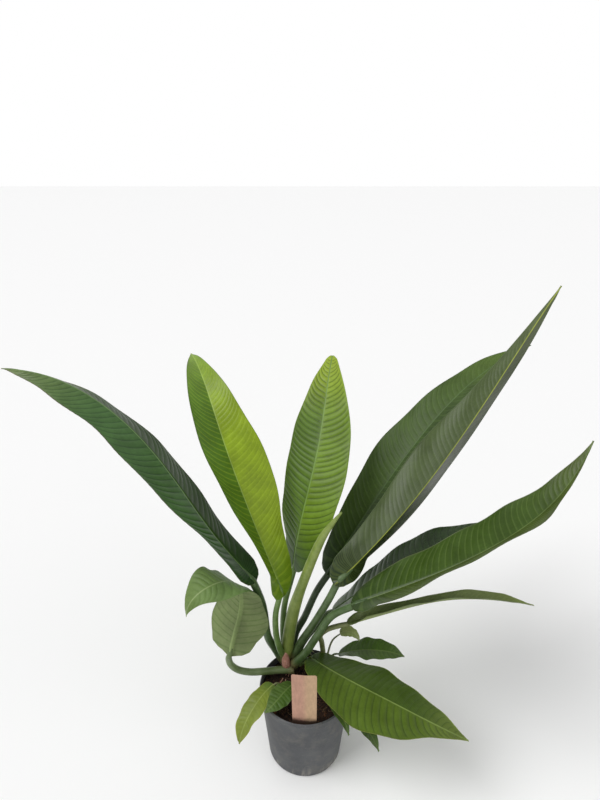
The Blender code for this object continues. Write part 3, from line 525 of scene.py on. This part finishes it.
def blade_mesh(leaf, columns):
    """Both faces of a blade: quilted between its side veins, with a groove and a keel at the midrib."""
    frames = leaf_frames(leaf)
    veins = leaf["veins"]
    seed = sum(ord(letter) for letter in leaf["name"])
    draw = random.Random(seed)
    jitter = np.cumsum([0.0] + [draw.uniform(0.8, 1.2) for _ in range(veins)])
    starts = 0.03 + 0.955 * jitter / jitter[-1]
    rows, phases = [0.0, 0.006, 0.015], [-0.9, -0.6, -0.3]
    for k in range(veins):
        for step in VEIN_STEPS:
            rows.append(starts[k] + step * (starts[k + 1] - starts[k]))
            phases.append(k + step)
    rows += [starts[-1], 0.992, 0.997]
    phases += [veins, veins + 0.3, veins + 0.6]
    t = np.array(rows)[:, None]
    phase = np.array(phases)[:, None]
    v = np.array([-c for c in reversed(columns[1:])] + list(columns))[None, :]
    t, phase, v = (np.broadcast_to(grid, (len(rows), v.shape[1])) for grid in (t, phase, v))
    side = np.abs(v)

    shear = leaf.get("shear", VEIN_SHEAR)
    ends = np.clip((t - 0.02) / 0.1, 0, 1) * np.clip((1 - t) / 0.15, 0, 1)
    s = np.minimum(1, t + np.where(v < 0, shear[0], shear[1]) * ends * (0.5 * side + 0.5 * side**3))
    place, ahead, right, upper = (
        np.stack([np.interp(s, frames[0], table[:, k]) for k in range(3)], -1) for table in frames[1:])
    width = half_width(leaf, v, s)
    cup = np.where(v < 0, along_curve(leaf["cup_left"], s), along_curve(leaf["cup_right"], s))
    cup = np.radians(cup) * np.minimum(1, np.minimum(s / 0.09, (1 - s) / 0.06))
    lobe = -leaf["lobe"] * np.exp(-((s / 0.06) ** 2)) * np.minimum(1, side * 1.5)
    wave = WAVE_HEIGHT * side * side * np.sin(2 * math.pi * WAVES * t + 1.7 * v) * np.minimum(1, width / 25)
    reach = width * side

    quilt = np.where(v < 0, leaf["quilt"][0], leaf["quilt"][1])
    quilt = quilt * smoothstep(side, 0.015, 0.16) * (1 - 0.8 * smoothstep(side, 0.78, 1.0))
    quilt = quilt * smoothstep(t, 0.0, 0.10) * (1 - 0.75 * smoothstep(t, 0.80, 1.0))
    lift = np.abs(np.sin(math.pi * phase)) ** 0.75 - 0.6
    fold = max(0.0, -(leaf["cup_left"][0] + leaf["cup_right"][0])) / 100
    keel = max(1.5, 1.2 * leaf["radius"][1] * (1 - fold)) * (1 - s) ** 1.3
    keel_half = np.maximum(0.9, 0.8 * keel)
    groove = -0.22 * keel * np.exp(-((reach / (0.42 * keel_half)) ** 2))
    ripple = np.array([[0.5 * noise.noise(Vector((seed, float(a) * 14, float(b) * 3))) for a, b in zip(r1, r2)]
                       for r1, r2 in zip(t, v)]) * side
    top = wave + ripple + quilt * lift + groove
    skin = BLADE_THICKNESS + (MARGIN_THICKNESS - BLADE_THICKNESS) * smoothstep(side, 0.6, 1.0)
    ridge = keel * np.sqrt(np.clip(1 - (reach / keel_half) ** 2, 0, 1))
    rib_lines = 0.25 * (np.cos(math.pi * phase) ** 2) ** 6 * smoothstep(side, 0.0, 0.05) * (1 - side)
    low = top - skin - ridge - rib_lines

    def surface(height):
        turn = np.where(v < 0, -np.cos(cup), np.cos(cup))
        return (place + lobe[..., None] * ahead
                + reach[..., None] * (turn[..., None] * right + np.sin(cup)[..., None] * upper)
                + height[..., None] * upper)

    count, across = t.shape
    points = np.concatenate([surface(top).reshape(-1, 3), surface(low).reshape(-1, 3)]) * MM
    total = count * across
    faces = quads(count, across, 0, flip=True) + quads(count, across, total)
    for row in range(count - 1):
        a, b = row * across, (row + 1) * across
        faces.append((a, b, b + total, a + total))
        a, b = a + across - 1, b + across - 1
        faces.append((b, a, a + total, b + total))
    for column in range(across - 1):
        faces.append((column + 1, column, column + total, column + 1 + total))
        a = (count - 1) * across + column
        faces.append((a, a + 1, a + 1 + total, a + total))
    mesh = bpy.data.meshes.new(leaf["name"])
    mesh.from_pydata([tuple(p) for p in points], [], faces)
    mesh.shade_smooth()
    both = lambda grid: np.concatenate([grid.ravel(), grid.ravel()])
    add_attributes(mesh, {
        "across": both(v), "along": both(s), "phase": both(phase), "rib": both(reach),
        "rim": both(width * (1 - side)), "under": np.concatenate([np.zeros(total), np.ones(total)])})
    return mesh, frames


def tube_mesh(name, points, radii, sides=16, flatten=None):
    """Closed tube along points in millimetres, with round and lengthwise attributes."""
    points = np.asarray(points, float)
    tangents = np.gradient(points, axis=0)
    tangents /= np.linalg.norm(tangents, axis=1)[:, None]
    normal = np.cross(tangents[0], (0.3, -0.9, 0.2))
    normal /= np.linalg.norm(normal)
    rings, rounds, lengths = [], [], []
    run = np.concatenate([[0], np.cumsum(np.linalg.norm(np.diff(points, axis=0), axis=1))])
    for k, (spot, ahead) in enumerate(zip(points, tangents)):
        normal = normal - ahead * float(np.dot(normal, ahead))
        normal /= np.linalg.norm(normal)
        other = np.cross(ahead, normal)
        for j in range(sides):
            angle = 2 * math.pi * j / sides
            rings.append(spot + radii[k] * (math.cos(angle) * normal + math.sin(angle) * other))
            rounds.append(abs(j / sides * 2 - 1))
            lengths.append(run[k] / run[-1])
    last = len(points) - 1
    rings += [points[0], points[last]]
    rounds += [0, 0]
    lengths += [0, 1]
    faces = []
    for k in range(last):
        for j in range(sides):
            a, b = k * sides + j, k * sides + (j + 1) % sides
            faces.append((a, b, b + sides, a + sides))
    foot, tip = len(rings) - 2, len(rings) - 1
    for j in range(sides):
        faces.append((foot, (j + 1) % sides, j))
        faces.append((tip, last * sides + j, last * sides + (j + 1) % sides))
    mesh = bpy.data.meshes.new(name)
    mesh.from_pydata([tuple(p * MM) for p in np.array(rings)], [], faces)
    mesh.shade_smooth()
    add_attributes(mesh, {"across": rounds, "along": lengths})
    return mesh


def piece(name, mesh, material, slot, *replaced):
    """One shown piece of the part: it rides on the root and stands for the nodes it replaces."""
    made = bpy.data.objects.new(name, mesh)
    bpy.context.scene.collection.objects.link(made)
    mesh.materials.clear()
    mesh.materials.append(material)
    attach(made, "root")
    if replaced:
        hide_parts(*replaced)
    return made


def petiole_points(leaf, frames):
    """The petiole's points, run on under the midrib, closer to it step by step."""
    spots, upper = frames[1], frames[4]
    size = leaf["radius"][1]
    inside = [spots[k] - upper[k] * (size * share + 0.3) for k, share in ((0, 0.9), (10, 0.75), (18, 0.6))]
    return list(leaf["petiole"]) + inside


def make_leaf(leaf, columns):
    look = PAINTS[leaf["paint"]]
    node = "small_leaves_front_right" if leaf["name"] == "under_leaf" else leaf["name"]
    mesh, frames = blade_mesh(leaf, columns)
    piece(leaf["name"] + "_blade", mesh, leaf_material(leaf["name"] + "_skin", look), leaf["slot"], node)
    knots = petiole_points(leaf, frames)
    rough = sum(math.dist(a, b) for a, b in zip(knots, knots[1:]))
    points, length = path_through(knots, max(14, int(rough / 5)))
    shares = np.linspace(0, 1, len(points))
    foot, top = leaf["radius"]
    radii = np.minimum(foot + (top - foot) * shares, top * (0.6 + 0.4 * (1 - shares) * length / TAPER_LENGTH))
    radii = radii * (1 + 0.16 * smoothstep(1 - shares * length / SHEATH_LENGTH, 0.0, 1.0))
    stalk = tube_mesh(leaf["name"] + "_stalk", points, radii)
    pale = tuple(min(255, channel + 26) for channel in look["petiole"])
    paint = stalk_material(leaf["name"] + "_stalk_skin", look["petiole"], pale)
    piece(leaf["name"] + "_stalk", stalk, paint, leaf["slot"], node)


def make_spike():
    points, _ = path_through(SPIKE["points"], 60)
    radii = along_curve(SPIKE["radii"], np.linspace(0, 1, 60))
    mesh = tube_mesh("rolled_new_leaf", points, radii, 24)
    paint = stalk_material("new_leaf_skin", (112, 132, 56), (140, 156, 80), 0.45)
    piece("rolled_new_leaf_spear", mesh, paint, "leaf_pale", "rolled_new_leaf")


def wall_radius(height, inset=0.0):
    """Outer radius of the pot's wall at a height, less an inset."""
    return POT_BASE_RADIUS + (POT_RIM_RADIUS - POT_RIM_BEAD - POT_BASE_RADIUS) * height / POT_HEIGHT - inset


def arc(centre, radius, start, end, steps):
    """Points of an arc in the (radius, height) plane, angles in degrees."""
    angles = [math.radians(start + (end - start) * k / steps) for k in range(steps + 1)]
    return [(centre[0] + radius * math.cos(a), centre[1] + radius * math.sin(a)) for a in angles]


def turned_mesh(name, profile, sides):
    """A body turned about Z from (radius, height) points that start and end on the axis."""
    bm = bmesh.new()
    spots = [bm.verts.new((radius * MM, 0, height * MM)) for radius, height in profile]
    edges = [bm.edges.new(pair) for pair in zip(spots, spots[1:])]
    bmesh.ops.spin(bm, geom=spots + edges, axis=(0, 0, 1), cent=(0, 0, 0), angle=2 * math.pi, steps=sides)
    bmesh.ops.remove_doubles(bm, verts=bm.verts, dist=1e-6)
    bmesh.ops.recalc_face_normals(bm, faces=bm.faces)
    mesh = bpy.data.meshes.new(name)
    bm.to_mesh(mesh)
    bm.free()
    return mesh


def spare_object(name, bm, matrix):
    mesh = bpy.data.meshes.new(name)
    bm.to_mesh(mesh)
    bm.free()
    made = bpy.data.objects.new(name, mesh)
    made.matrix_world = matrix
    bpy.context.scene.collection.objects.link(made)
    return made


def cut_mesh(mesh, cutters):
    """The mesh with every cutter taken away from it, and the cutters removed."""
    body = bpy.data.objects.new("body_to_cut", mesh)
    bpy.context.scene.collection.objects.link(body)
    for cutter in cutters:
        difference = body.modifiers.new(cutter.name, "BOOLEAN")
        difference.operation = "DIFFERENCE"
        difference.object = cutter
    bpy.context.view_layer.update()
    graph = bpy.context.evaluated_depsgraph_get()
    result = bpy.data.meshes.new_from_object(body.evaluated_get(graph))
    for thing in [body, *cutters]:
        bpy.data.objects.remove(thing, do_unlink=True)
    return result


def pot_profile():
    floor = BASE_RECESS + POT_FLOOR
    inner = POT_CORNER - POT_WALL
    profile = [(0, floor)]
    profile += arc((wall_radius(floor, POT_WALL) - inner, floor + inner), inner, -90, 0, 8)
    for height in range(20, 121, 20):
        profile.append((wall_radius(height, POT_WALL), height))
    lip = (wall_radius(POT_HEIGHT) - POT_WALL / 2, POT_HEIGHT - POT_WALL / 2)
    profile += arc(lip, POT_WALL / 2, 180, 60, 8)
    profile += arc((POT_RIM_RADIUS - RIM_ROUND, POT_HEIGHT - 1.6 * RIM_ROUND), RIM_ROUND, 70, 0, 6)
    profile += arc((POT_RIM_RADIUS - 0.6, POT_HEIGHT - RIM_BAND), 0.6, 0, -70, 4)
    under_band = POT_HEIGHT - RIM_BAND - RIM_ROUND
    for height in (under_band, 110, 90, 70, 50, 30, 12):
        profile.append((wall_radius(height), height))
    profile += arc((wall_radius(POT_CORNER) - POT_CORNER, POT_CORNER), POT_CORNER, 0, -90, 10)
    profile += [(BASE_RING_INNER, 0), (BASE_RING_INNER - 1, BASE_RECESS), (BASE_DISC_RADIUS + 1, BASE_RECESS),
                (BASE_DISC_RADIUS, 0), (0, 0)]
    return profile


def pot_material():
    """Recycled plastic: cloudy dull grey, fine moulding grain, dust, scuffs at the foot and pale scratches."""
    paint = Paint("pot_plastic_skin")
    clouds = paint.noise(14.0, 5.0, 0.6)
    tone = paint.mix(paint.smooth(clouds, 0.3, 0.7), linear((66, 68, 71)), linear((92, 94, 96)))
    height = paint.height()
    dusty = paint.math("MULTIPLY", paint.smooth(paint.noise(45.0, 6.0, 0.7), 0.45, 0.75), 0.35)
    tone = paint.mix(dusty, tone, linear((128, 122, 112)))
    scuffs = paint.noise(60.0, 4.0, 0.7, stretch=(1, 1, 0.25))
    low = paint.smooth(height, 0.030, 0.002)
    worn = paint.math("MULTIPLY", paint.smooth(scuffs, 0.50, 0.68), paint.math("MULTIPLY", low, 0.8))
    tone = paint.mix(worn, tone, linear((142, 138, 130)))
    specks = paint.smooth(paint.voronoi(420.0), 0.16, 0.05)
    tone = paint.mix(paint.math("MULTIPLY", specks, 0.45), tone, linear((158, 152, 140)))
    scratch = paint.noise(22.0, 2.0, 0.5, stretch=(1, 1, 9))
    scratch = paint.smooth(paint.math("ABSOLUTE", paint.math("SUBTRACT", scratch, 0.5)), 0.006, 0.0)
    tone = paint.mix(paint.math("MULTIPLY", scratch, 0.25), tone, linear((150, 148, 144)))
    crumbs = paint.smooth(paint.noise(160.0, 3.0, 0.6), 0.60, 0.70)
    crumbs = paint.math("MULTIPLY", crumbs, paint.smooth(height, 0.112, 0.127))
    tone = paint.mix(paint.math("MULTIPLY", crumbs, 0.7), tone, linear((44, 34, 28)))
    grain = paint.noise(900.0, 2.0, 0.5)
    rings = paint.noise(4.0, 2.0, 0.5, stretch=(1, 1, 60))
    relief = paint.math("ADD", paint.math("MULTIPLY", grain, 0.5), paint.math("MULTIPLY", rings, 0.8))
    rough = paint.smooth(clouds, 0.2, 0.8, 0.50, 0.68)
    return paint.finish(tone, rough, paint.bump(relief, 0.35, 0.0003), Specular_IOR_Level=0.4)


def make_pot():
    cutters = []
    for number in range(DRAIN_HOLES):
        angle = math.radians(360 * number / DRAIN_HOLES + DRAIN_TURN)
        bm = bmesh.new()
        bmesh.ops.create_cone(bm, cap_ends=True, segments=32, radius1=DRAIN_RADIUS * MM,
                              radius2=DRAIN_RADIUS * MM, depth=20 * MM)
        spot = Vector((DRAIN_CIRCLE * math.cos(angle), DRAIN_CIRCLE * math.sin(angle), 2)) * MM
        cutters.append(spare_object("drain_%d" % number, bm, Matrix.Translation(spot)))
        angle = math.radians(360 * number / DRAIN_HOLES + NOTCH_TURN)
        bm = bmesh.new()
        bmesh.ops.create_cube(bm, size=MM)
        bmesh.ops.scale(bm, verts=bm.verts, vec=(NOTCH_LENGTH, NOTCH_WIDTH, NOTCH_HEIGHT))
        spot = Vector((NOTCH_CIRCLE * math.cos(angle), NOTCH_CIRCLE * math.sin(angle), 0)) * MM
        cutters.append(spare_object("foot_notch_%d" % number, bm,
                                    Matrix.Translation(spot) @ Matrix.Rotation(angle, 4, "Z")))
    mesh = cut_mesh(turned_mesh("pot_shell", pot_profile(), 160), cutters)
    mesh.shade_smooth()
    mesh.set_sharp_from_angle(angle=math.radians(40))
    piece("pot_shell", mesh, pot_material(), "pot_plastic", "pot")


def soil_height(x, y):
    """Height of the uneven soil at a place, in millimetres, as in the part's source."""
    lump = noise.noise(Vector((x * 0.055, y * 0.055, 3.7)))
    grain = noise.noise(Vector((x * 0.17, y * 0.17, 9.1)))
    return SOIL_TOP + SOIL_BUMP * (lump + 0.5 * grain)


def crumb_height(x, y):
    """The soil's height with its crumbs."""
    crumbs = noise.fractal(Vector((x * 0.42, y * 0.42, 1.3)), 0.8, 2.1, 4)
    return soil_height(x, y) + 1.1 * crumbs


def soil_material(name, dark, light):
    """Potting mix: each crumb with its own tone, from black-brown to the red-brown of bark."""
    paint = Paint(name)
    shade = paint.attribute("shade")
    clumps = paint.noise(190.0, 5.0, 0.7)
    tone = paint.mix(paint.smooth(clumps, 0.35, 0.75), linear(dark), linear(light))
    tone = paint.mix(shade, tone, linear((104, 66, 44)))
    tone = paint.mix(paint.smooth(shade, 0.82, 1.0), tone, linear((168, 140, 104)))
    wet = paint.noise(30.0, 3.0, 0.6)
    tone = paint.mix(1.0, tone, paint.smooth(wet, 0.3, 0.7, 0.6, 1.15), "MULTIPLY")
    relief = paint.math("ADD", paint.noise(700.0, 4.0, 0.7), paint.math("MULTIPLY", clumps, 1.5))
    return paint.finish(tone, 0.92, paint.bump(relief, 0.8, 0.0008), Specular_IOR_Level=0.25)


def make_soil():
    """The soil's body with a crumbly top, then the chips and fibres pressed into it."""
    rings, sides = 44, 150
    edge = wall_radius(SOIL_TOP, POT_WALL + 0.25)
    floor = BASE_RECESS + POT_FLOOR + 0.3
    bm = bmesh.new()
    middle = bm.verts.new((0, 0, crumb_height(0, 0) * MM))
    rows = []
    for ring in range(1, rings + 1):
        radius = edge * ring / rings
        row = []
        for k in range(sides):
            x, y = (radius * f(2 * math.pi * k / sides) for f in (math.cos, math.sin))
            row.append(bm.verts.new((x * MM, y * MM, crumb_height(x, y) * MM)))
        rows.append(row)
    low = wall_radius(floor, POT_WALL + 0.4) - POT_CORNER
    for radius, height in ((wall_radius(60, POT_WALL + 0.4), 60), (low, floor + 2), (low - 3, floor)):
        rows.append([bm.verts.new((radius * math.cos(2 * math.pi * k / sides) * MM,
                                   radius * math.sin(2 * math.pi * k / sides) * MM, height * MM))
                     for k in range(sides)])
    for k in range(sides):
        bm.faces.new((middle, rows[0][k], rows[0][(k + 1) % sides]))
    for first, second in zip(rows, rows[1:]):
        for k in range(sides):
            after = (k + 1) % sides
            bm.faces.new((first[k], second[k], second[after], first[after]))
    bm.faces.new(rows[-1][::-1])
    mesh = bpy.data.meshes.new("soil_body")
    bm.to_mesh(mesh)
    bm.free()
    mesh.shade_smooth()
    draw = random.Random(5)
    add_attributes(mesh, {"shade": [0.25 * draw.random() ** 3 for _ in mesh.vertices]})
    piece("soil_body", mesh, soil_material("soil_skin", (26, 20, 17), (58, 42, 33)), "soil", "soil")
    make_chips(edge)
    make_fibres(edge)


def make_chips(edge):
    """Bark chips and coir crumbs, each a rough lump with its own tone, half sunk in the soil."""
    draw = random.Random(21)
    bm = bmesh.new()
    tone = bm.verts.layers.float.new("shade")
    for _ in range(CHIPS):
        distance = (edge - 1.5) * math.sqrt(draw.random())
        angle = draw.uniform(0, 2 * math.pi)
        x, y = distance * math.cos(angle), distance * math.sin(angle)
        big = draw.random() ** 4
        size = 0.7 + 2.4 * big
        shape = Vector((size * draw.uniform(0.8, 1.9), size * draw.uniform(0.6, 1.0), size * draw.uniform(0.4, 0.8)))
        if math.hypot(x, y) + max(shape) > edge:
            continue
        shade = draw.random() ** 2.2 * 0.8
        made = bmesh.ops.create_icosphere(bm, subdivisions=2, radius=1.0)["verts"]
        turn = Matrix.Rotation(draw.uniform(0, math.pi), 3, "Z") @ Matrix.Rotation(draw.uniform(-0.5, 0.5), 3, "X")
        spot = Vector((x, y, crumb_height(x, y) + 0.15 * size))
        phase = draw.uniform(0, 50)
        for vert in made:
            rough = 1 + 0.45 * noise.noise(vert.co * 1.6 + Vector((phase, phase, 0)))
            vert[tone] = shade
            vert.co = (spot + turn @ Vector([a * b * rough for a, b in zip(vert.co, shape)])) * MM
    mesh = bpy.data.meshes.new("soil_chips")
    bm.to_mesh(mesh)
    bm.free()
    mesh.set_sharp_from_angle(angle=math.radians(50))
    piece("soil_chips", mesh, soil_material("chip_skin", (34, 25, 20), (78, 54, 40)), "soil", "soil")


def make_fibres(edge):
    """Coir fibres that lie on the soil in flat curls."""
    draw = random.Random(8)
    verts, faces, shades = [], [], []
    sides = 5
    for _ in range(FIBRES):
        distance = (edge - 14) * math.sqrt(draw.random())
        angle = draw.uniform(0, 2 * math.pi)
        x, y = distance * math.cos(angle), distance * math.sin(angle)
        heading, bend = draw.uniform(0, 2 * math.pi), draw.uniform(-0.35, 0.35)
        size, steps = draw.uniform(0.10, 0.24), draw.randint(5, 12)
        shade, rise = draw.uniform(0.4, 1.0), draw.uniform(0.2, 1.4)
        base = len(verts)
        for k in range(steps):
            lift = rise * math.sin(math.pi * k / (steps - 1)) + size
            centre = Vector((x, y, crumb_height(x, y) + lift))
            side = Vector((-math.sin(heading), math.cos(heading), 0))
            for j in range(sides):
                turn = 2 * math.pi * j / sides
                verts.append((centre + size * (math.cos(turn) * side + math.sin(turn) * Vector((0, 0, 1)))) * MM)
                shades.append(shade)
            heading += bend
            x, y = x + 1.2 * math.cos(heading), y + 1.2 * math.sin(heading)
        for k in range(steps - 1):
            for j in range(sides):
                a, b = base + k * sides + j, base + k * sides + (j + 1) % sides
                faces.append((a, a + sides, b + sides, b))
        faces.append([base + j for j in range(sides)])
        faces.append([base + (steps - 1) * sides + j for j in reversed(range(sides))])
    mesh = bpy.data.meshes.new("soil_fibres")
    mesh.from_pydata([tuple(v) for v in verts], [], faces)
    mesh.shade_smooth()
    add_attributes(mesh, {"shade": shades})
    piece("soil_fibres", mesh, soil_material("fibre_skin", (70, 50, 36), (120, 92, 66)), "soil", "soil")


def card_material():
    """Kraft card: pulp fibres and flecks, a pinker left half, soil stains rising from the foot."""
    paint = Paint("card_skin")
    aside, up = paint.attribute("across"), paint.attribute("along")
    tone = paint.mix(paint.smooth(aside, -0.25, 0.35), linear((190, 148, 128)), linear((196, 164, 132)))
    pulp = paint.noise(260.0, 5.0, 0.7, stretch=(1, 1, 0.3))
    tone = paint.mix(1.0, tone, paint.smooth(pulp, 0.25, 0.75, 0.86, 1.10), "MULTIPLY")
    flecks = paint.smooth(paint.voronoi(900.0), 0.14, 0.04)
    tone = paint.mix(paint.math("MULTIPLY", flecks, 0.5), tone, linear((132, 96, 70)))
    clouds = paint.noise(40.0, 4.0, 0.65)
    reach = paint.math("ADD", up, paint.math("MULTIPLY", clouds, -0.22))
    tone = paint.mix(paint.math("MULTIPLY", paint.smooth(reach, 0.06, -0.02), 0.85), tone, linear((52, 38, 30)))
    tone = paint.mix(paint.math("MULTIPLY", paint.smooth(clouds, 0.6, 0.8), 0.25), tone, linear((150, 112, 88)))
    relief = paint.math("ADD", pulp, paint.noise(900.0, 3.0, 0.6))
    return paint.finish(tone, 0.85, paint.bump(relief, 0.35, 0.0003), Specular_IOR_Level=0.25)


def make_label():
    """The plain card label: slightly bowed, with worn corners and a soft cut edge."""
    turn = Matrix.Rotation(math.radians(LABEL_TURN), 3, "Z") @ Matrix.Rotation(math.radians(LABEL_LEAN), 3, "X")
    columns, rows, corner = 22, 60, 2.2
    points, across, along = [], [], []
    for face in (-1, 1):
        for row in range(rows + 1):
            up = LABEL_HEIGHT * row / rows
            short = max(0.0, up - (LABEL_HEIGHT - corner))
            half = LABEL_WIDTH / 2 - corner + math.sqrt(max(0.0, corner**2 - short**2))
            for column in range(columns + 1):
                share = 2 * column / columns - 1
                ragged = 0.35 * noise.noise(Vector((share * 4, 0.3, 7))) * (row == rows)
                bow = 0.8 * (1 - share * share) + 0.3 * math.sin(up * 0.05)
                thick = face * LABEL_THICKNESS / 2 * (0.55 if column in (0, columns) or row == rows else 1)
                points.append(Vector(LABEL_FOOT) + turn @ Vector((half * share, thick - bow + 0.4, up + ragged)))
                across.append(share)
                along.append((up - 13) / LABEL_HEIGHT)
    size = (rows + 1) * (columns + 1)
    faces = quads(rows + 1, columns + 1) + quads(rows + 1, columns + 1, size, flip=True)
    rim = [k for k in range(columns + 1)]
    rim += [(row + 1) * (columns + 1) - 1 for row in range(1, rows + 1)]
    rim += [rows * (columns + 1) + k for k in range(columns - 1, -1, -1)]
    rim += [row * (columns + 1) for row in range(rows - 1, 0, -1)]
    for a, b in zip(rim, rim[1:] + rim[:1]):
        faces.append((b, a, a + size, b + size))
    mesh = bpy.data.meshes.new("card_label")
    mesh.from_pydata([tuple(p * MM) for p in points], [], faces)
    mesh.shade_smooth()
    mesh.set_sharp_from_angle(angle=math.radians(50))
    add_attributes(mesh, {"across": across, "along": along})
    piece("card_label", mesh, card_material(), "card", "plant_label")


def stem_material():
    """Corky young stem: green-brown with ringed scars and a soil-stained foot."""
    paint = Paint("stem_skin")
    rings = paint.noise(30.0, 3.0, 0.6, stretch=(0.4, 0.4, 6))
    tone = paint.mix(paint.smooth(rings, 0.35, 0.65), linear((62, 74, 38)), linear((112, 96, 62)))
    stain = paint.math("ADD", paint.height(), paint.math("MULTIPLY", paint.noise(120.0, 4.0, 0.7), 0.012))
    tone = paint.mix(paint.smooth(stain, 0.136, 0.124), tone, linear((50, 36, 27)))
    relief = paint.math("ADD", rings, paint.noise(500.0, 3.0, 0.6))
    return paint.finish(tone, 0.7, paint.bump(relief, 0.6, 0.0006), Specular_IOR_Level=0.3)


def make_stem():
    """The short stem that all main stalks wrap, with ringed leaf scars."""
    bm = bmesh.new()
    sides, steps = 48, 26
    rows = []
    for step in range(steps + 1):
        share = step / steps
        height = STEM_BOTTOM + (STEM_TOP - STEM_BOTTOM) * share
        row = []
        for k in range(sides):
            angle = 2 * math.pi * k / sides
            scar = 0.5 * math.sin(height * 1.1 + 2 * math.sin(angle))
            knob = 1.2 * noise.noise(Vector((2 * math.cos(angle), 2 * math.sin(angle), height * 0.12)))
            radius = (STEM_RADIUS - 0.6 + scar + knob) * (1 - 0.45 * smoothstep(share, 0.8, 1.0))
            row.append(bm.verts.new(((STEM_FOOT[0] + radius * math.cos(angle)) * MM,
                                     (STEM_FOOT[1] + radius * math.sin(angle)) * MM, height * MM)))
        rows.append(row)
    for first, second in zip(rows, rows[1:]):
        for k in range(sides):
            after = (k + 1) % sides
            bm.faces.new((first[k], first[after], second[after], second[k]))
    bm.faces.new(rows[0][::-1])
    bm.faces.new(rows[-1])
    mesh = bpy.data.meshes.new("stem_core")
    bm.to_mesh(mesh)
    bm.free()
    mesh.shade_smooth()
    piece("stem_core", mesh, stem_material(), "stem", "stem")


def papery_material(name, dark, light):
    """Dry scale leaf: thin, matt, with fine lengthwise ridges."""
    paint = Paint(name)
    ridges = paint.math("SINE", paint.math("MULTIPLY", paint.attribute("across"), 46.0))
    patches = paint.noise(220.0, 4.0, 0.7)
    tone = paint.mix(paint.smooth(patches, 0.3, 0.7), linear(dark), linear(light))
    tone = paint.mix(paint.math("MULTIPLY", paint.smooth(ridges, 0.2, 1.0), 0.35), tone, linear((214, 190, 176)))
    return paint.finish(tone, 0.7, paint.bump(ridges, 0.4, 0.0003), Specular_IOR_Level=0.3)


def make_crown_details():
    """What grows round the foot of the stalks: a pink scale leaf, dry strips, rootlets."""
    points, _ = path_through(CATAPHYLL["points"], 24)
    radii = along_curve(CATAPHYLL["radii"], np.linspace(0, 1, 24))
    pink = papery_material("scale_leaf_skin", (150, 92, 74), (194, 142, 124))
    piece("pink_scale_leaf", tube_mesh("pink_scale_leaf", points, radii, 24), pink, "stem", "stem")
    dry = papery_material("dry_strip_skin", (118, 128, 84), (158, 162, 118))
    for number, knots in enumerate(DRY_STRIPS):
        points, _ = path_through(knots, 16)
        radii = 0.25 + 0.75 * np.sin(np.linspace(0.15, math.pi - 0.15, 16))
        name = "dry_strip_%d" % number
        piece(name, tube_mesh(name, points, radii, 8), dry, "stem", "stem")
    root = papery_material("rootlet_skin", (140, 98, 78), (186, 142, 118))
    for number, knots in enumerate(ROOTLETS):
        points, _ = path_through(knots, 12)
        radii = 0.95 - 0.55 * np.linspace(0, 1, 12)
        name = "rootlet_%d" % number
        piece(name, tube_mesh(name, points, radii, 8), root, "stem", "stem")


def make_camera():
    data = bpy.data.cameras.new("camera")
    data.lens = CAMERA_LENS
    camera = bpy.data.objects.new("camera", data)
    bpy.context.scene.collection.objects.link(camera)
    camera.location = CAMERA_PLACE
    camera.rotation_euler = (math.radians(90 - CAMERA_PITCH), 0, 0)
    bpy.context.scene.camera = camera


def soft_sun(name, toward, power, spread):
    """Even light from a wide patch of the sky in the given direction."""
    data = bpy.data.lights.new(name, "SUN")
    data.energy = power
    data.angle = math.radians(spread)
    lamp = bpy.data.objects.new(name, data)
    bpy.context.scene.collection.objects.link(lamp)
    lamp.rotation_euler = Vector(toward).to_track_quat("Z", "Y").to_euler()


def make_studio():
    world = bpy.data.worlds.new("studio")
    world.use_nodes = True
    tree = world.node_tree
    background = tree.nodes["Background"]
    background.inputs["Color"].default_value = (1, 1, 1, 1)
    seen = tree.nodes.new("ShaderNodeLightPath").outputs["Is Camera Ray"]
    strength = tree.nodes.new("ShaderNodeMapRange")
    strength.inputs["To Min"].default_value = WORLD_LIGHT
    strength.inputs["To Max"].default_value = 1.0
    tree.links.new(seen, strength.inputs["Value"])
    tree.links.new(strength.outputs["Result"], background.inputs["Strength"])
    bpy.context.scene.world = world
    soft_sun("key", (-0.75, -0.25, 1.0), KEY_LIGHT, 35)
    soft_sun("fill", (0.8, -0.7, 0.9), FILL_LIGHT, 60)
    mesh = bpy.data.meshes.new("floor")
    reach = 30.0
    mesh.from_pydata([(-reach, -reach, 0), (reach, -reach, 0), (reach, reach, 0), (-reach, reach, 0)], [],
                     [(0, 1, 2, 3)])
    floor = bpy.data.objects.new("floor", mesh)
    bpy.context.scene.collection.objects.link(floor)
    paint = Paint("floor")
    mesh.materials.append(paint.finish((0.94, 0.94, 0.94), 0.9))
    bpy.context.scene.view_settings.view_transform = "Standard"


def main():
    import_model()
    make_camera()
    make_studio()
    for leaf in LEAVES:
        make_leaf(leaf, COLUMNS)
    for leaf in SMALL_LEAVES:
        make_leaf(leaf, SMALL_COLUMNS)
    make_spike()
    make_pot()
    make_soil()
    make_stem()
    make_crown_details()
    make_label()


main()
